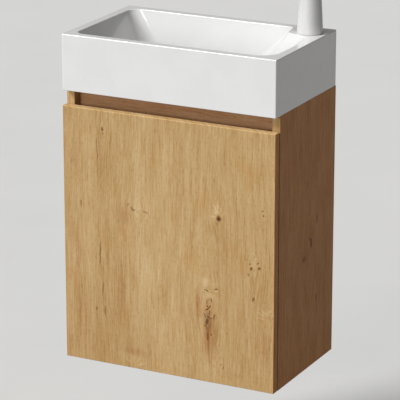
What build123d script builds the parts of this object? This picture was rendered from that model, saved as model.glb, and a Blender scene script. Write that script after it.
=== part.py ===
from build123d import *
import math
import os

# Wall-hung cloakroom vanity unit, in millimetres. +Z is up, the front faces -Y, and the wall is the plane y = 0.
# The origin is midway between the two wall-fixing holes, on the wall plane.

# How far a cutter runs past what it cuts, and how near an edge lies to a plane to count as on it
CUT_OVER = 1.0
TOUCH = 0.01

# Cabinet
WIDTH = 450.0
DEPTH = 268.0
CABINET_HEIGHT = 540.0
BOARD = 16.0
CABINET_TOP = 60.0
CABINET_BOTTOM = CABINET_TOP - CABINET_HEIGHT
LEFT = -WIDTH / 2
RIGHT = WIDTH / 2
INNER = RIGHT - BOARD
FRONT = -DEPTH
RAIL_SETBACK = 20.0
FRONT_RAIL_HEIGHT = 70.0
WALL_RAIL_HEIGHT = 100.0
LOWER_RAIL_HEIGHT = 60.0
WALL_HOLE_SPACING = 300.0
WALL_HOLE_RADIUS = 4.0

# Door
DOOR_GAP = 3.0
FINGER_GAP = 30.0
DOOR_REVEAL = 0.5
DOOR_EDGE_RADIUS = 0.8
DOOR_LEFT = LEFT + DOOR_REVEAL
DOOR_RIGHT = RIGHT - DOOR_REVEAL
DOOR_TOP = CABINET_TOP - FINGER_GAP
DOOR_BACK = FRONT + BOARD
CARCASS_FRONT = DOOR_BACK + DOOR_GAP
BUMPER_RADIUS = 4.0
BUMPER_SHORT = 0.4
BUMPER_INSET = 15.0
BUMPER_EDGE = 0.8

# Shelf
SHELF_TOP = -250.0
SHELF_PLAY = 0.5
SHELF_FRONT = CARCASS_FRONT + 17.0
SHELF_BACK = -BOARD - 2.0
PIN_RADIUS = 2.5
PIN_DEPTH = 10.0
PIN_REACH = 8.0
PIN_ROWS = (SHELF_FRONT + 35.0, SHELF_BACK - 35.0)
PIN_STEP = 32.0
PIN_COLLAR_RADIUS = 4.5
PIN_COLLAR = 1.2

# Carcass joints, each given by how far it lies in from the end of its board or rail
BOTTOM_CAM = 49.0
BOTTOM_DOWEL = 81.0
FRONT_RAIL_CAM = 20.0
FRONT_RAIL_DOWEL = 50.0
WALL_RAIL_CAM = 25.0
WALL_RAIL_DOWEL = 80.0
LOWER_RAIL_CAM = 20.0
LOWER_RAIL_DOWEL = 42.0
DOWEL_RADIUS = 4.0
DOWEL_LENGTH = 30.0
DOWEL_IN_SIDE = 12.0
CAM_RADIUS = 7.5
CAM_DEPTH = 12.5
CAM_FROM_END = 24.0
CAM_BOLT_RADIUS = 3.0
CAM_BOLT_IN_SIDE = 11.0
CAM_BOLT_SLOT = 4.0

# Screwdriver crosses: length, width and depth
CAM_CROSS = (8.0, 1.6, 1.8)
CUP_SCREW_CROSS = (3.6, 0.8, 0.6)
PLATE_SCREW_CROSS = (4.6, 0.9, 1.2)
ARM_SCREW_CROSS = (5.0, 0.9, 1.2)

# Concealed hinges, on the left
HINGE_FROM_END = 95.0
CUP_RADIUS = 17.5
CUP_FROM_EDGE = 3.0
CUP_DEPTH = 13.0
CUP_WALL = 0.8
CUP_FLANGE = 1.2
CUP_RIM = 1.0
EAR_REACH = 16.0
EAR_HALF = 27.0
EAR_CORNER = 6.0
PIVOT_FROM_EDGE = 7.0
PIVOT_DEPTH = 9.0
HINGE_PIN_RADIUS = 1.0
HINGE_PIN_FIT = 0.05
KNUCKLE_RADIUS = 1.8
KNUCKLE_HALF = 5.0
LUG_HALF = 9.6
LUG_OUTER = 3.0
LUG_INNER = 2.4
LUG_PLAY = 0.4
ARM_THICK = 2.0
ARM_REACH = 14.0
ARM_HALF = 8.0
ARM_STEP = 2.0
ARM_BACK = -190.0
ARM_FLANGE = 1.5
ARM_FLANGE_START = CARCASS_FRONT + 12.0
ARM_FLANGE_PLAY = 0.5
PLATE_WING = 2.0
PLATE_Y = CARCASS_FRONT + 37.0
WING_WIDTH = 11.0
WING_HALF = 24.0
WING_CORNER = 5.0
FOOT_START = CARCASS_FRONT + 14.0
FOOT_END = ARM_BACK - 2.0
FOOT_HALF = 6.0
SPINE_START = CARCASS_FRONT + 16.0
SPINE_END = ARM_BACK - 4.0
SPINE_HALF = 5.5
ARM_SCREW_Y = PLATE_Y + 8.0
ARM_SCREW_HEAD = 4.2
PLATE_SCREW_Z = 16.0
PLATE_SCREW_LENGTH = 11.0
PLATE_SCREW_RADIUS = 2.5
PLATE_SCREW_HEAD = 3.8
PLATE_SCREW_EDGE = 0.8
SCREW_HEAD_HEIGHT = 2.2
CUP_SCREW_Z = 22.5
CUP_SCREW_OFFSET = 9.5
CUP_SCREW_LENGTH = 10.0
CUP_SCREW_RADIUS = 1.75
CUP_SCREW_HEAD = 3.2
PIVOT_X = DOOR_LEFT + PIVOT_FROM_EDGE
PIVOT_Y = DOOR_BACK - PIVOT_DEPTH
CUP_X = DOOR_LEFT + CUP_FROM_EDGE + CUP_RADIUS
ARM_X = PIVOT_X + ARM_REACH
HINGE_HEIGHTS = {"upper": DOOR_TOP - HINGE_FROM_END, "lower": CABINET_BOTTOM + HINGE_FROM_END}

# Basin
BASIN_HEIGHT = 110.0
RIM = CABINET_TOP + BASIN_HEIGHT
SKIRT = 10.0
HOLLOW_CORNER = 12.0
DECK = 12.0
BOWL_DEPTH = 86.0
BOWL_WALL = 9.0
BOWL_FLOOR = RIM - BOWL_DEPTH
RIM_RADIUS = 2.0
OUTER_RADIUS = 2.5
TOP_EDGE_RADIUS = 2.0
RIM_LEFT = 18.0
RIM_RIGHT = 16.0
RIM_FRONT = 18.5
RIM_BACK = 20.0

# The bowl's outline at its opening, which runs round the tap deck, and the foot that its walls aim for.
# Each point is x, the distance from the basin's front and the corner's radius.
BOWL_OPENING = (
    (LEFT + RIM_LEFT, RIM_FRONT, 18.0), (RIGHT - RIM_RIGHT, RIM_FRONT, 38.0),
    (RIGHT - RIM_RIGHT, 146.0, 30.0), (200.0, 184.0, 22.0), (152.0, 204.0, 12.0),
    (145.0, DEPTH - RIM_BACK, 8.0), (LEFT + RIM_LEFT, DEPTH - RIM_BACK, 22.0),
)
BOWL_FOOT = (
    (-186.0, 42.5, 34.0), (62.0, 42.5, 44.0), (76.0, 118.0, 20.0), (74.0, 146.0, 16.0),
    (68.0, 166.0, 16.0), (60.0, 222.0, 34.0), (-186.0, 222.0, 36.0),
)
# Shares of the bowl's depth, and how far the walls have gone there from the opening to the foot.
BOWL_SECTIONS = ((0.0, 0.0), (0.45, 0.36), (0.78, 0.66), (0.94, 0.88), (1.0, 1.1))

# Waste and bottle trap
DRAIN_X = -60.0
DRAIN_Y = -136.0
DRAIN_AXIS = Location((DRAIN_X, DRAIN_Y, 0))
DRAIN_HOLE_RADIUS = 22.0
WASTE_TUBE_RADIUS = 19.5
WASTE_BORE_RADIUS = 16.5
WASTE_FLANGE_RADIUS = 32.0
WASTE_FLANGE_THICK = 3.0
WASTE_SEAT_PLAY = 0.5
WASTE_END = 20.0
FLANGE_EDGE = 1.0
FLANGE_FLAT = 4.0
FLANGE_DISH = 1.8
SPIDER_TOP = BOWL_FLOOR - 18.0
SPIDER_HEIGHT = 12.0
SPIDER_HUB_RADIUS = 7.0
SPOKE_WIDTH = 2.5
SPOKE_BITE = 0.5
PLUG_REST = BOWL_FLOOR + 0.4
PLUG_PROFILE = ((0.0, 0.0), (29.0, 0.0), (30.0, 1.0), (28.0, 2.6), (16.5, 4.2), (0.0, 4.8))
PLUG_STEM_RADIUS = 4.0
PLUG_STEM_END = BOWL_FLOOR - 27.0
PLUG_FIT = 0.05
GASKET_RADIUS = 30.0
GASKET_THICK = 3.0
LOCKNUT_RADIUS = 27.0
LOCKNUT_HEIGHT = 9.0
GRIP_RIB_RADIUS = 1.6
GRIP_RIBS = 12
COUPLING_RADIUS = 25.0
COUPLING_HALF = 12.0
COUPLING_LIP = 4.0
COUPLING_LIP_RADIUS = 23.0
SEAL_THICK = 3.0
COLLAR_THICK = 5.0
PIPE_RADIUS = 16.0
PIPE_WALL = 1.6
SOCKET_WALL = 2.6
TRAP_RADIUS = 24.0
TRAP_WALL = 2.4
TRAP_TOP = -52.0
TRAP_SHOULDER = TRAP_TOP - 8.0
TRAP_NECK_TOP = TRAP_TOP + 4.0
TRAP_NECK_BORE = TRAP_TOP - 20.0
TRAP_BOTTOM = -118.0
TRAP_INLET_END = TRAP_TOP - 42.0
TRAP_NUT_RADIUS = 22.5
TRAP_NUT_LENGTH = 17.0
TRAP_NUT_LIP = 3.0
TRAP_NUT_LIP_RADIUS = 22.0
TRAP_CUP_TOP = -106.0
TRAP_CUP_RADIUS = 28.0
TRAP_CUP_BOTTOM = -165.0
TRAP_CUP_FLOOR = 2.2
TRAP_CUP_GRIP = 14.0
TRAP_CUP_CORNER = 14.0
OUTLET_Z = -85.0
OUTLET_SOCKET_END = DRAIN_Y + TRAP_RADIUS + 18.0
OUTLET_PIPE_START = DRAIN_Y + TRAP_RADIUS + 2.0
SPIGOT_LENGTH = 40.0
SPIGOT_MARK = 2.0
SPIGOT_MARK_DEPTH = 0.3

# Tap
TAP_X = 191.0
TAP_Y = -48.0
TAP_HOLE_RADIUS = 17.5
TAP_SEAL = 1.0
TAP_SEAL_INSET = 1.5
TAP_BASE_RADIUS = 25.0
TAP_TOP_RADIUS = 18.0
TAP_EDGE = 0.8
TAP_HEIGHT = 128.0
TAP_BASE = RIM + TAP_SEAL
TAP_TOP = RIM + TAP_HEIGHT
SPOUT_TURN = 201.8
SPOUT_REACH = 112.0
SPOUT_Z = RIM + 98.0
SPOUT_START = 4.0
SPOUT_ROOT_RADIUS = 12.0
SPOUT_TIP_RADIUS = 10.5
SPOUT_TIP_EDGE = 6.3
SPOUT_BORE_RADIUS = 5.0
SPOUT_MOUTH = 14.0
AERATOR_RADIUS = 8.0
AERATOR_BOTTOM = SPOUT_Z - 12.5
AERATOR_LENGTH = 7.0
AERATOR_HOLES = 8
AERATOR_HOLE_RADIUS = 0.9
AERATOR_HOLE_RING = 4.4
AERATOR_CENTRE_RADIUS = 1.2
INLET_RADIUS = 4.5
INLET_DEPTH = 14.0
INLET_SPREAD = 7.5
INLET_FORWARD = 4.0
INLET_BUSH_RADIUS = 7.0
INLET_WAY_RADIUS = 2.5
STUD_RADIUS = 4.0
STUD_BACK = 9.0
STUD_IN_TAP = 12.0
STUD_END = RIM - 52.0
WASHER_RADIUS = 21.0
WASHER_THICK = 2.5
WASHER_MOUTH = 27.0
WASHER_MOUTH_BACK = 1.5
TAP_NUT_RADIUS = 7.5
TAP_NUT_HEIGHT = 6.5
BALL_RADIUS = 13.5
SOCKET_RADIUS = 14.0
RING_NUT_HEIGHT = 6.0
RING_NUT_BORE = 7.0
CARTRIDGE_RADIUS = 12.5
CARTRIDGE_BOTTOM = TAP_TOP - 58.0
CARTRIDGE_TOP = TAP_TOP - 24.0
STEM_RADIUS = 4.0
STEM_FIT = 0.05
STEM_HOLE = 10.0
STEM_SEAT = 9.6
STEM_TOP = TAP_TOP + 4.0
LEVER_PIN_RADIUS = 2.0
LEVER_PIN_HALF = 10.5
LEVER_LENGTH = 84.0
LEVER_ROOT_WIDTH = 16.0
LEVER_TIP_WIDTH = 10.0
LEVER_TIP_CORNER = 4.5
# The blade and the slot for the stem seen from the side: along the spout's direction, and up from the pivot.
LEVER_BLADE = ((0.0, 4.5), (LEVER_LENGTH, 13.5), (LEVER_LENGTH, 17.0), (6.0, 11.5), (0.0, 11.5))
LEVER_SLOT = ((5.6, 6.2), (5.6, -16.0), (-13.5, -16.0), (-5.6, 0.0), (-5.6, 6.2))
LEVER_SLOT_PLAY = 0.5
TAP_AXIS = Location((TAP_X, TAP_Y, 0))
SPOUT_FRAME = Location((TAP_X, TAP_Y, 0), (0, 0, SPOUT_TURN))


def block(x0, x1, y0, y1, z0, z1):
    """A box between two corners."""
    return Pos((x0 + x1) / 2, (y0 + y1) / 2, (z0 + z1) / 2) * Box(x1 - x0, y1 - y0, z1 - z0)


def rod(start, end, radius):
    """A round bar from one point to another."""
    way = Vector(*end) - Vector(*start)
    plane = Plane(origin=start, z_dir=way)
    return extrude(plane * Circle(radius), way.length)


def tube(start, end, outer, inner):
    """A round pipe from one point to another."""
    return rod(start, end, outer) - rod(start, end, inner)


def turned(points, where):
    """A solid of revolution about a vertical axis at `where`, from (radius, height) points."""
    outline = make_face(Polyline(*[(r, 0, z) for r, z in points], close=True))
    return where * revolve(outline, Axis.Z)


def cross_recess(face, out, size):
    """The cutter for a screwdriver cross, sunk from a point on a face that looks `out`."""
    length, width, depth = size
    cross = Box(length, width, 2 * depth) + Box(width, length, 2 * depth)
    return Plane(origin=face, z_dir=out) * cross


def group(solids):
    """Separate solids kept together in one node."""
    return Compound(children=list(solids))


# Carcass


def joint_sites():
    """Where each horizontal board or rail is joined to a side: (kind, y, z, the way its cam's face looks)."""
    bottom_z = CABINET_BOTTOM + BOARD / 2
    rail_y = CARCASS_FRONT + RAIL_SETBACK + BOARD / 2
    wall_y = -BOARD / 2
    lower_rail_z = CABINET_BOTTOM + BOARD
    return [
        ("cam", CARCASS_FRONT + BOTTOM_CAM, bottom_z, (0, 0, 1)),
        ("dowel", CARCASS_FRONT + BOTTOM_DOWEL, bottom_z, None),
        ("dowel", -BOTTOM_DOWEL, bottom_z, None),
        ("cam", -BOTTOM_CAM, bottom_z, (0, 0, 1)),
        ("cam", rail_y, CABINET_TOP - FRONT_RAIL_CAM, (0, 1, 0)),
        ("dowel", rail_y, CABINET_TOP - FRONT_RAIL_DOWEL, None),
        ("dowel", wall_y, CABINET_TOP - WALL_RAIL_DOWEL, None),
        ("cam", wall_y, CABINET_TOP - WALL_RAIL_CAM, (0, -1, 0)),
        ("dowel", wall_y, lower_rail_z + LOWER_RAIL_DOWEL, None),
        ("cam", wall_y, lower_rail_z + LOWER_RAIL_CAM, (0, -1, 0)),
    ]


def sites(kind):
    """The joint sites of one kind on both sides, with the side's sign."""
    return [(s, y, z, look) for s in (-1, 1) for k, y, z, look in joint_sites() if k == kind]


def cam_bolts():
    """Steel bolts that screw into the sides and end in the cams."""
    return [
        rod((s * (INNER + CAM_BOLT_IN_SIDE), y, z), (s * (INNER - CAM_FROM_END), y, z), CAM_BOLT_RADIUS)
        for s, y, z, _ in sites("cam")
    ]


def cam_slots():
    """The edge bores in the boards that the cam bolts pass through."""
    return [
        rod((s * INNER, y, z), (s * (INNER - CAM_FROM_END), y, z), CAM_BOLT_SLOT)
        for s, y, z, _ in sites("cam")
    ]


def cam_body(s, y, z, look):
    """The full cylinder of one cam, flush with the board's face."""
    face = Vector(s * (INNER - CAM_FROM_END), y, z) + Vector(*look) * (BOARD / 2)
    return rod(tuple(face - Vector(*look) * CAM_DEPTH), tuple(face), CAM_RADIUS)


def cam_locks():
    """Cams with a radial bore for the bolt and a cross slot for a screwdriver."""
    made = []
    for s, y, z, look in sites("cam"):
        centre = Vector(s * (INNER - CAM_FROM_END), y, z)
        mouth = tuple(centre + Vector(s * CAM_RADIUS * 2, 0, 0))
        inner_end = tuple(centre - Vector(s * CAM_BOLT_SLOT, 0, 0))
        face = tuple(centre + Vector(*look) * (BOARD / 2))
        recess = cross_recess(face, look, CAM_CROSS)
        made.append(cam_body(s, y, z, look) - rod(inner_end, mouth, CAM_BOLT_SLOT) - recess)
    return made


def dowels():
    """Beech dowels that line the boards up with the sides."""
    inside = DOWEL_LENGTH - DOWEL_IN_SIDE
    return [
        rod((s * (INNER + DOWEL_IN_SIDE), y, z), (s * (INNER - inside), y, z), DOWEL_RADIUS)
        for s, y, z, _ in sites("dowel")
    ]


def bored(board):
    """A board with every joint bore cut where it meets one."""
    cutters = cam_slots() + [cam_body(*site) for site in sites("cam")] + dowels()
    for cutter in cutters:
        board = board - cutter
    return board


def pin_sites(side):
    """Shelf pin positions in one side: both rows, three heights, the middle one in use."""
    base = SHELF_TOP - BOARD - PIN_RADIUS
    return [(side, y, base + step * PIN_STEP) for y in PIN_ROWS for step in (-1, 0, 1)]


def pin_hole(side, y, z):
    """One blind hole for a shelf pin."""
    return rod((side * INNER, y, z), (side * (INNER + PIN_DEPTH), y, z), PIN_RADIUS)


def side_panel(side):
    """A side of the cabinet, with its joint bores, shelf holes and, on the left, hinge screw holes."""
    x = sorted((side * INNER, side * RIGHT))
    panel = block(x[0], x[1], CARCASS_FRONT, 0, CABINET_BOTTOM, CABINET_TOP)
    for cutter in cam_bolts() + dowels() + [pin_hole(*site) for site in pin_sites(side)]:
        panel = panel - cutter
    if side < 0:
        for z in HINGE_HEIGHTS.values():
            for hole in plate_screw_shanks(z):
                panel = panel - hole
    return panel


def bottom_panel():
    """The floor of the cabinet, between the sides."""
    z = CABINET_BOTTOM
    return bored(block(-INNER, INNER, CARCASS_FRONT, 0, z, z + BOARD))


def front_rail():
    """The rail set back under the basin, which makes the finger gap over the door."""
    y = CARCASS_FRONT + RAIL_SETBACK
    return bored(block(-INNER, INNER, y, y + BOARD, CABINET_TOP - FRONT_RAIL_HEIGHT, CABINET_TOP))


def wall_rail():
    """The upper rear rail, with the two holes that the cabinet hangs by."""
    rail = bored(block(-INNER, INNER, -BOARD, 0, CABINET_TOP - WALL_RAIL_HEIGHT, CABINET_TOP))
    for s in (-1, 1):
        x = s * WALL_HOLE_SPACING / 2
        rail = rail - rod((x, -BOARD, 0), (x, 0, 0), WALL_HOLE_RADIUS)
    return rail


def lower_rear_rail():
    """The lower rear rail, which keeps the sides square and the foot off the wall."""
    z = CABINET_BOTTOM + BOARD
    return bored(block(-INNER, INNER, -BOARD, 0, z, z + LOWER_RAIL_HEIGHT))


def shelf():
    """The loose shelf."""
    x = INNER - SHELF_PLAY
    board = block(-x, x, SHELF_FRONT, SHELF_BACK, SHELF_TOP - BOARD, SHELF_TOP)
    return fillet(board.edges().filter_by(Axis.X).group_by(Axis.Y)[0], DOOR_EDGE_RADIUS)


def shelf_pins():
    """Four steel pins with a flat-topped collar, under the shelf."""
    made = []
    z = SHELF_TOP - BOARD - PIN_RADIUS
    reach = PIN_COLLAR_RADIUS + CUT_OVER
    for side in (-1, 1):
        for y in PIN_ROWS:
            inner_end = side * (INNER - PIN_REACH)
            pin = rod((side * (INNER + PIN_DEPTH), y, z), (inner_end, y, z), PIN_RADIUS)
            collar = rod((side * INNER, y, z), (side * (INNER - PIN_COLLAR), y, z), PIN_COLLAR_RADIUS)
            top = block(-INNER, INNER, y - reach, y + reach, z + PIN_RADIUS, z + reach)
            made.append(pin + (collar - top))
    return made


# Door and hinges


def door_panel():
    """The door, with two cup bores and their screw holes in its back."""
    panel = block(DOOR_LEFT, DOOR_RIGHT, FRONT, DOOR_BACK, CABINET_BOTTOM, DOOR_TOP)
    panel = fillet(panel.edges().group_by(Axis.Y)[0], DOOR_EDGE_RADIUS)
    for z in HINGE_HEIGHTS.values():
        panel = panel - rod((CUP_X, DOOR_BACK, z), (CUP_X, DOOR_BACK - CUP_DEPTH, z), CUP_RADIUS)
        for screw in cup_screw_shanks(z):
            panel = panel - screw
    return panel


def cup_screw_spots(z):
    """Centres of the two screws of a hinge cup."""
    return [(CUP_X + CUP_SCREW_OFFSET, z + s * CUP_SCREW_Z) for s in (-1, 1)]


def cup_screw_shanks(z):
    """The screws' threaded lengths in the door."""
    tip = DOOR_BACK - CUP_SCREW_LENGTH
    return [rod((x, tip, sz), (x, DOOR_BACK, sz), CUP_SCREW_RADIUS) for x, sz in cup_screw_spots(z)]


def countersink(x, z):
    """The cone of a countersunk head in a cup's flange, widening towards +Y."""
    top = Plane(origin=(x, DOOR_BACK + CUP_FLANGE, z), z_dir=(0, -1, 0))
    return top * Pos(0, 0, CUP_FLANGE / 2) * Cone(CUP_SCREW_HEAD, CUP_SCREW_RADIUS, CUP_FLANGE)


def hinge_cup(z):
    """A pressed cup: a round wall and floor, an eared flange, and two lugs that hold the pin."""
    back = DOOR_BACK
    floor = back - CUP_DEPTH
    cup = rod((CUP_X, floor, z), (CUP_X, back, z), CUP_RADIUS)
    hollow = rod((CUP_X, floor + CUP_WALL, z), (CUP_X, back + CUP_FLANGE, z), CUP_RADIUS - CUP_WALL)
    inside = rod((CUP_X, floor, z), (CUP_X, back, z), CUP_RADIUS)
    disc = rod((CUP_X, back, z), (CUP_X, back + CUP_FLANGE, z), CUP_RADIUS + CUP_RIM)
    ears = block(CUP_X, CUP_X + EAR_REACH, back, back + CUP_FLANGE, z - EAR_HALF, z + EAR_HALF)
    ears = fillet(ears.edges().filter_by(Axis.Y), EAR_CORNER)
    body = cup + disc + ears - hollow
    for s in (-1, 1):
        z0, z1 = sorted((z + s * (KNUCKLE_HALF + LUG_PLAY), z + s * LUG_HALF))
        lug = block(PIVOT_X - LUG_OUTER, PIVOT_X + LUG_INNER, floor, PIVOT_Y + LUG_INNER, z0, z1)
        body = body + (lug & inside)
    pin_end = (PIVOT_X, PIVOT_Y, z + LUG_HALF)
    body = body - rod((PIVOT_X, PIVOT_Y, z - LUG_HALF), pin_end, HINGE_PIN_RADIUS)
    for x, sz in cup_screw_spots(z):
        body = body - countersink(x, sz)
    return body


def hinge_pin(z):
    """The steel pin that the door turns on."""
    return rod((PIVOT_X, PIVOT_Y, z - LUG_HALF), (PIVOT_X, PIVOT_Y, z + LUG_HALF), HINGE_PIN_RADIUS)


def hinge_arm(z):
    """A goose-necked arm: an eye on the pin, a bent neck, and a channel over the mounting plate."""
    eye = rod((PIVOT_X, PIVOT_Y, z - KNUCKLE_HALF), (PIVOT_X, PIVOT_Y, z + KNUCKLE_HALF), KNUCKLE_RADIUS)
    low, high = z - KNUCKLE_HALF, z + KNUCKLE_HALF
    outside = ARM_X + ARM_THICK
    front = PIVOT_Y - ARM_THICK / 2
    step = DOOR_BACK + ARM_STEP
    neck = block(PIVOT_X, outside, front, front + ARM_THICK, low, high)
    rise = block(ARM_X, outside, front, step, low, high)
    web = block(ARM_X, outside, step, ARM_BACK, z - ARM_HALF, z + ARM_HALF)
    arm = eye + neck + rise + web
    upright = arm.edges().filter_by(Axis.Z)
    bend = upright.filter_by_position(Axis.Y, front - TOUCH, front + TOUCH).sort_by(Axis.X)[-1]
    arm = fillet(bend, ARM_THICK)
    for s in (-1, 1):
        z0, z1 = sorted((z + s * ARM_HALF, z + s * (ARM_HALF - ARM_FLANGE)))
        arm = arm + block(-INNER + PLATE_WING + ARM_FLANGE_PLAY, ARM_X, ARM_FLANGE_START, ARM_BACK, z0, z1)
    bore_radius = HINGE_PIN_RADIUS + HINGE_PIN_FIT
    bore = rod((PIVOT_X, PIVOT_Y, z - LUG_HALF), (PIVOT_X, PIVOT_Y, z + LUG_HALF), bore_radius)
    screw = rod((ARM_X, ARM_SCREW_Y, z), (outside, ARM_SCREW_Y, z), PLATE_SCREW_RADIUS)
    return arm - bore - screw


def plate_screw_spots(z):
    """Centres of the two screws of a mounting plate."""
    return [(PLATE_Y, z + s * PLATE_SCREW_Z) for s in (-1, 1)]


def plate_screw_shanks(z):
    """The screws' threaded lengths in the side panel."""
    tip = -INNER - PLATE_SCREW_LENGTH
    return [rod((tip, y, sz), (-INNER, y, sz), PLATE_SCREW_RADIUS) for y, sz in plate_screw_spots(z)]


def arm_screw(z):
    """The screw that fixes the arm to its plate."""
    y = ARM_SCREW_Y
    seat = ARM_X + ARM_THICK
    top = seat + SCREW_HEAD_HEIGHT
    shank = rod((-INNER + PLATE_WING, y, z), (seat, y, z), PLATE_SCREW_RADIUS)
    head = rod((seat, y, z), (top, y, z), ARM_SCREW_HEAD)
    return shank + head - cross_recess((top, y, z), (1, 0, 0), ARM_SCREW_CROSS)


def hinge_plate(z):
    """A cross-shaped mounting plate with a raised spine for the arm."""
    top = -INNER + PLATE_WING
    half = WING_WIDTH / 2
    wing = block(-INNER, top, PLATE_Y - half, PLATE_Y + half, z - WING_HALF, z + WING_HALF)
    wing = fillet(wing.edges().filter_by(Axis.X), WING_CORNER)
    foot = block(-INNER, top, FOOT_START, FOOT_END, z - FOOT_HALF, z + FOOT_HALF)
    spine = block(top, ARM_X, SPINE_START, SPINE_END, z - SPINE_HALF, z + SPINE_HALF)
    plate = wing + foot + spine
    for y, sz in plate_screw_spots(z):
        plate = plate - rod((-INNER, y, sz), (top, y, sz), PLATE_SCREW_RADIUS)
    return plate - rod((top, ARM_SCREW_Y, z), (ARM_X, ARM_SCREW_Y, z), PLATE_SCREW_RADIUS)


def plate_screws():
    """Euro screws with pan heads, two in each mounting plate."""
    made = []
    seat = -INNER + PLATE_WING
    top = seat + SCREW_HEAD_HEIGHT
    for z in HINGE_HEIGHTS.values():
        for y, sz in plate_screw_spots(z):
            shank = rod((-INNER - PLATE_SCREW_LENGTH, y, sz), (seat, y, sz), PLATE_SCREW_RADIUS)
            head = rod((seat, y, sz), (top, y, sz), PLATE_SCREW_HEAD)
            head = fillet(head.edges().sort_by(Axis.X)[-1], PLATE_SCREW_EDGE)
            made.append(shank + head - cross_recess((top, y, sz), (1, 0, 0), PLATE_SCREW_CROSS))
    return made


def cup_screws():
    """Countersunk screws that hold the cups in the door."""
    made = []
    for z in HINGE_HEIGHTS.values():
        for (x, sz), shank in zip(cup_screw_spots(z), cup_screw_shanks(z)):
            face = (x, DOOR_BACK + CUP_FLANGE, sz)
            made.append(shank + countersink(x, sz) - cross_recess(face, (0, 1, 0), CUP_SCREW_CROSS))
    return made


def door_bumpers():
    """Soft buffers on the door's free side, just short of the side panel's edge."""
    x = (INNER + DOOR_RIGHT) / 2
    top = CARCASS_FRONT - BUMPER_SHORT
    made = []
    for z in (DOOR_TOP - FRONT_RAIL_HEIGHT / 2, CABINET_BOTTOM + BUMPER_INSET):
        dot = rod((x, DOOR_BACK, z), (x, top, z), BUMPER_RADIUS)
        made.append(fillet(dot.edges().sort_by(Axis.Y)[-1], BUMPER_EDGE))
    return made


# Basin


def rounded_face(corners, z):
    """A flat outline at height z through (x, y, corner radius) points, given from the basin's front left."""
    points = [(x, FRONT + y, z) for x, y, _ in corners]
    return make_face(FilletPolyline(*points, radius=[r for _, _, r in corners], close=True))


def bowl_corners(inward):
    """Corners of the bowl's outline: 0 is its opening in the rim and 1 its foot."""
    return [tuple(p + (q - p) * inward for p, q in zip(a, b)) for a, b in zip(BOWL_OPENING, BOWL_FOOT)]


def bowl_space(wall):
    """The bowl's hollow, grown by a wall thickness: steep at the rim and rounding into the floor."""
    sections = []
    for depth, inward in BOWL_SECTIONS:
        face = rounded_face(bowl_corners(inward), RIM - BOWL_DEPTH * depth)
        if wall:
            drop = wall if depth > BOWL_SECTIONS[1][0] else 0
            face = Pos(0, 0, -drop) * offset(face, wall)
        sections.insert(0, face)
    return loft(sections)


def on_bowl_rim(edge):
    """Whether an edge lies where the bowl's opening meets the rim, rather than on the basin's outside."""
    middle = edge.center()
    across = abs(middle.X) < RIGHT - SKIRT
    return abs(middle.Z - RIM) < TOUCH and across and FRONT + SKIRT < middle.Y < -SKIRT


def basin():
    """The basin: a box skirt, a bowl inside it, a hollow underside, a tap deck and two holes."""
    box = block(LEFT, RIGHT, FRONT, 0, CABINET_TOP, RIM)
    box = fillet(box.edges().filter_by(Axis.Z), OUTER_RADIUS)
    box = fillet(box.edges().group_by(Axis.Z)[-1], TOP_EDGE_RADIUS)
    hollow = block(LEFT + SKIRT, RIGHT - SKIRT, FRONT + SKIRT, -SKIRT, CABINET_TOP, RIM - DECK)
    hollow = fillet(hollow.edges().filter_by(Axis.Z), HOLLOW_CORNER)
    shape = box - (hollow - bowl_space(BOWL_WALL)) - bowl_space(0)
    shape = fillet(shape.edges().filter_by(on_bowl_rim), RIM_RADIUS)
    drain = rod((DRAIN_X, DRAIN_Y, CABINET_TOP), (DRAIN_X, DRAIN_Y, RIM), DRAIN_HOLE_RADIUS)
    seat_z = BOWL_FLOOR - WASTE_FLANGE_THICK
    seat = rod((DRAIN_X, DRAIN_Y, seat_z), (DRAIN_X, DRAIN_Y, RIM), WASTE_FLANGE_RADIUS + WASTE_SEAT_PLAY)
    tap_hole = rod((TAP_X, TAP_Y, RIM - DECK), (TAP_X, TAP_Y, RIM), TAP_HOLE_RADIUS)
    return shape - drain - seat - tap_hole


# Waste and trap


def waste_body():
    """The waste: a dished flange, a threaded tube and a spider that guides the plug's stem."""
    top = BOWL_FLOOR
    under = top - WASTE_FLANGE_THICK
    outer, bore = WASTE_TUBE_RADIUS, WASTE_BORE_RADIUS
    body = turned(
        [
            (bore, WASTE_END), (outer, WASTE_END), (outer, under), (WASTE_FLANGE_RADIUS, under),
            (WASTE_FLANGE_RADIUS, top - FLANGE_EDGE), (WASTE_FLANGE_RADIUS - FLANGE_EDGE, top),
            (WASTE_FLANGE_RADIUS - FLANGE_FLAT, top), (bore, top - FLANGE_DISH),
        ],
        DRAIN_AXIS,
    )
    low = SPIDER_TOP - SPIDER_HEIGHT
    body = body + rod((DRAIN_X, DRAIN_Y, low), (DRAIN_X, DRAIN_Y, SPIDER_TOP), SPIDER_HUB_RADIUS)
    spoke = Box(2 * (bore + SPOKE_BITE), SPOKE_WIDTH, SPIDER_HEIGHT)
    for turn in (0, 90):
        body = body + Pos(DRAIN_X, DRAIN_Y, low + SPIDER_HEIGHT / 2) * Rot(0, 0, turn) * spoke
    return body - rod((DRAIN_X, DRAIN_Y, low), (DRAIN_X, DRAIN_Y, top), PLUG_STEM_RADIUS + PLUG_FIT)


def waste_plug():
    """The click-clack plug: a shallow dome on a stem, resting just above the flange."""
    dome = turned([(r, PLUG_REST + rise) for r, rise in PLUG_PROFILE], DRAIN_AXIS)
    into_dome = PLUG_REST + CUT_OVER
    return dome + rod((DRAIN_X, DRAIN_Y, PLUG_STEM_END), (DRAIN_X, DRAIN_Y, into_dome), PLUG_STEM_RADIUS)


def on_drain(z0, z1, radius):
    """A round bar on the drain's axis."""
    return rod((DRAIN_X, DRAIN_Y, z0), (DRAIN_X, DRAIN_Y, z1), radius)


def ring(z0, z1, outer, inner):
    """A ring on the drain's axis."""
    return on_drain(z0, z1, outer) - on_drain(z0, z1, inner)


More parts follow.
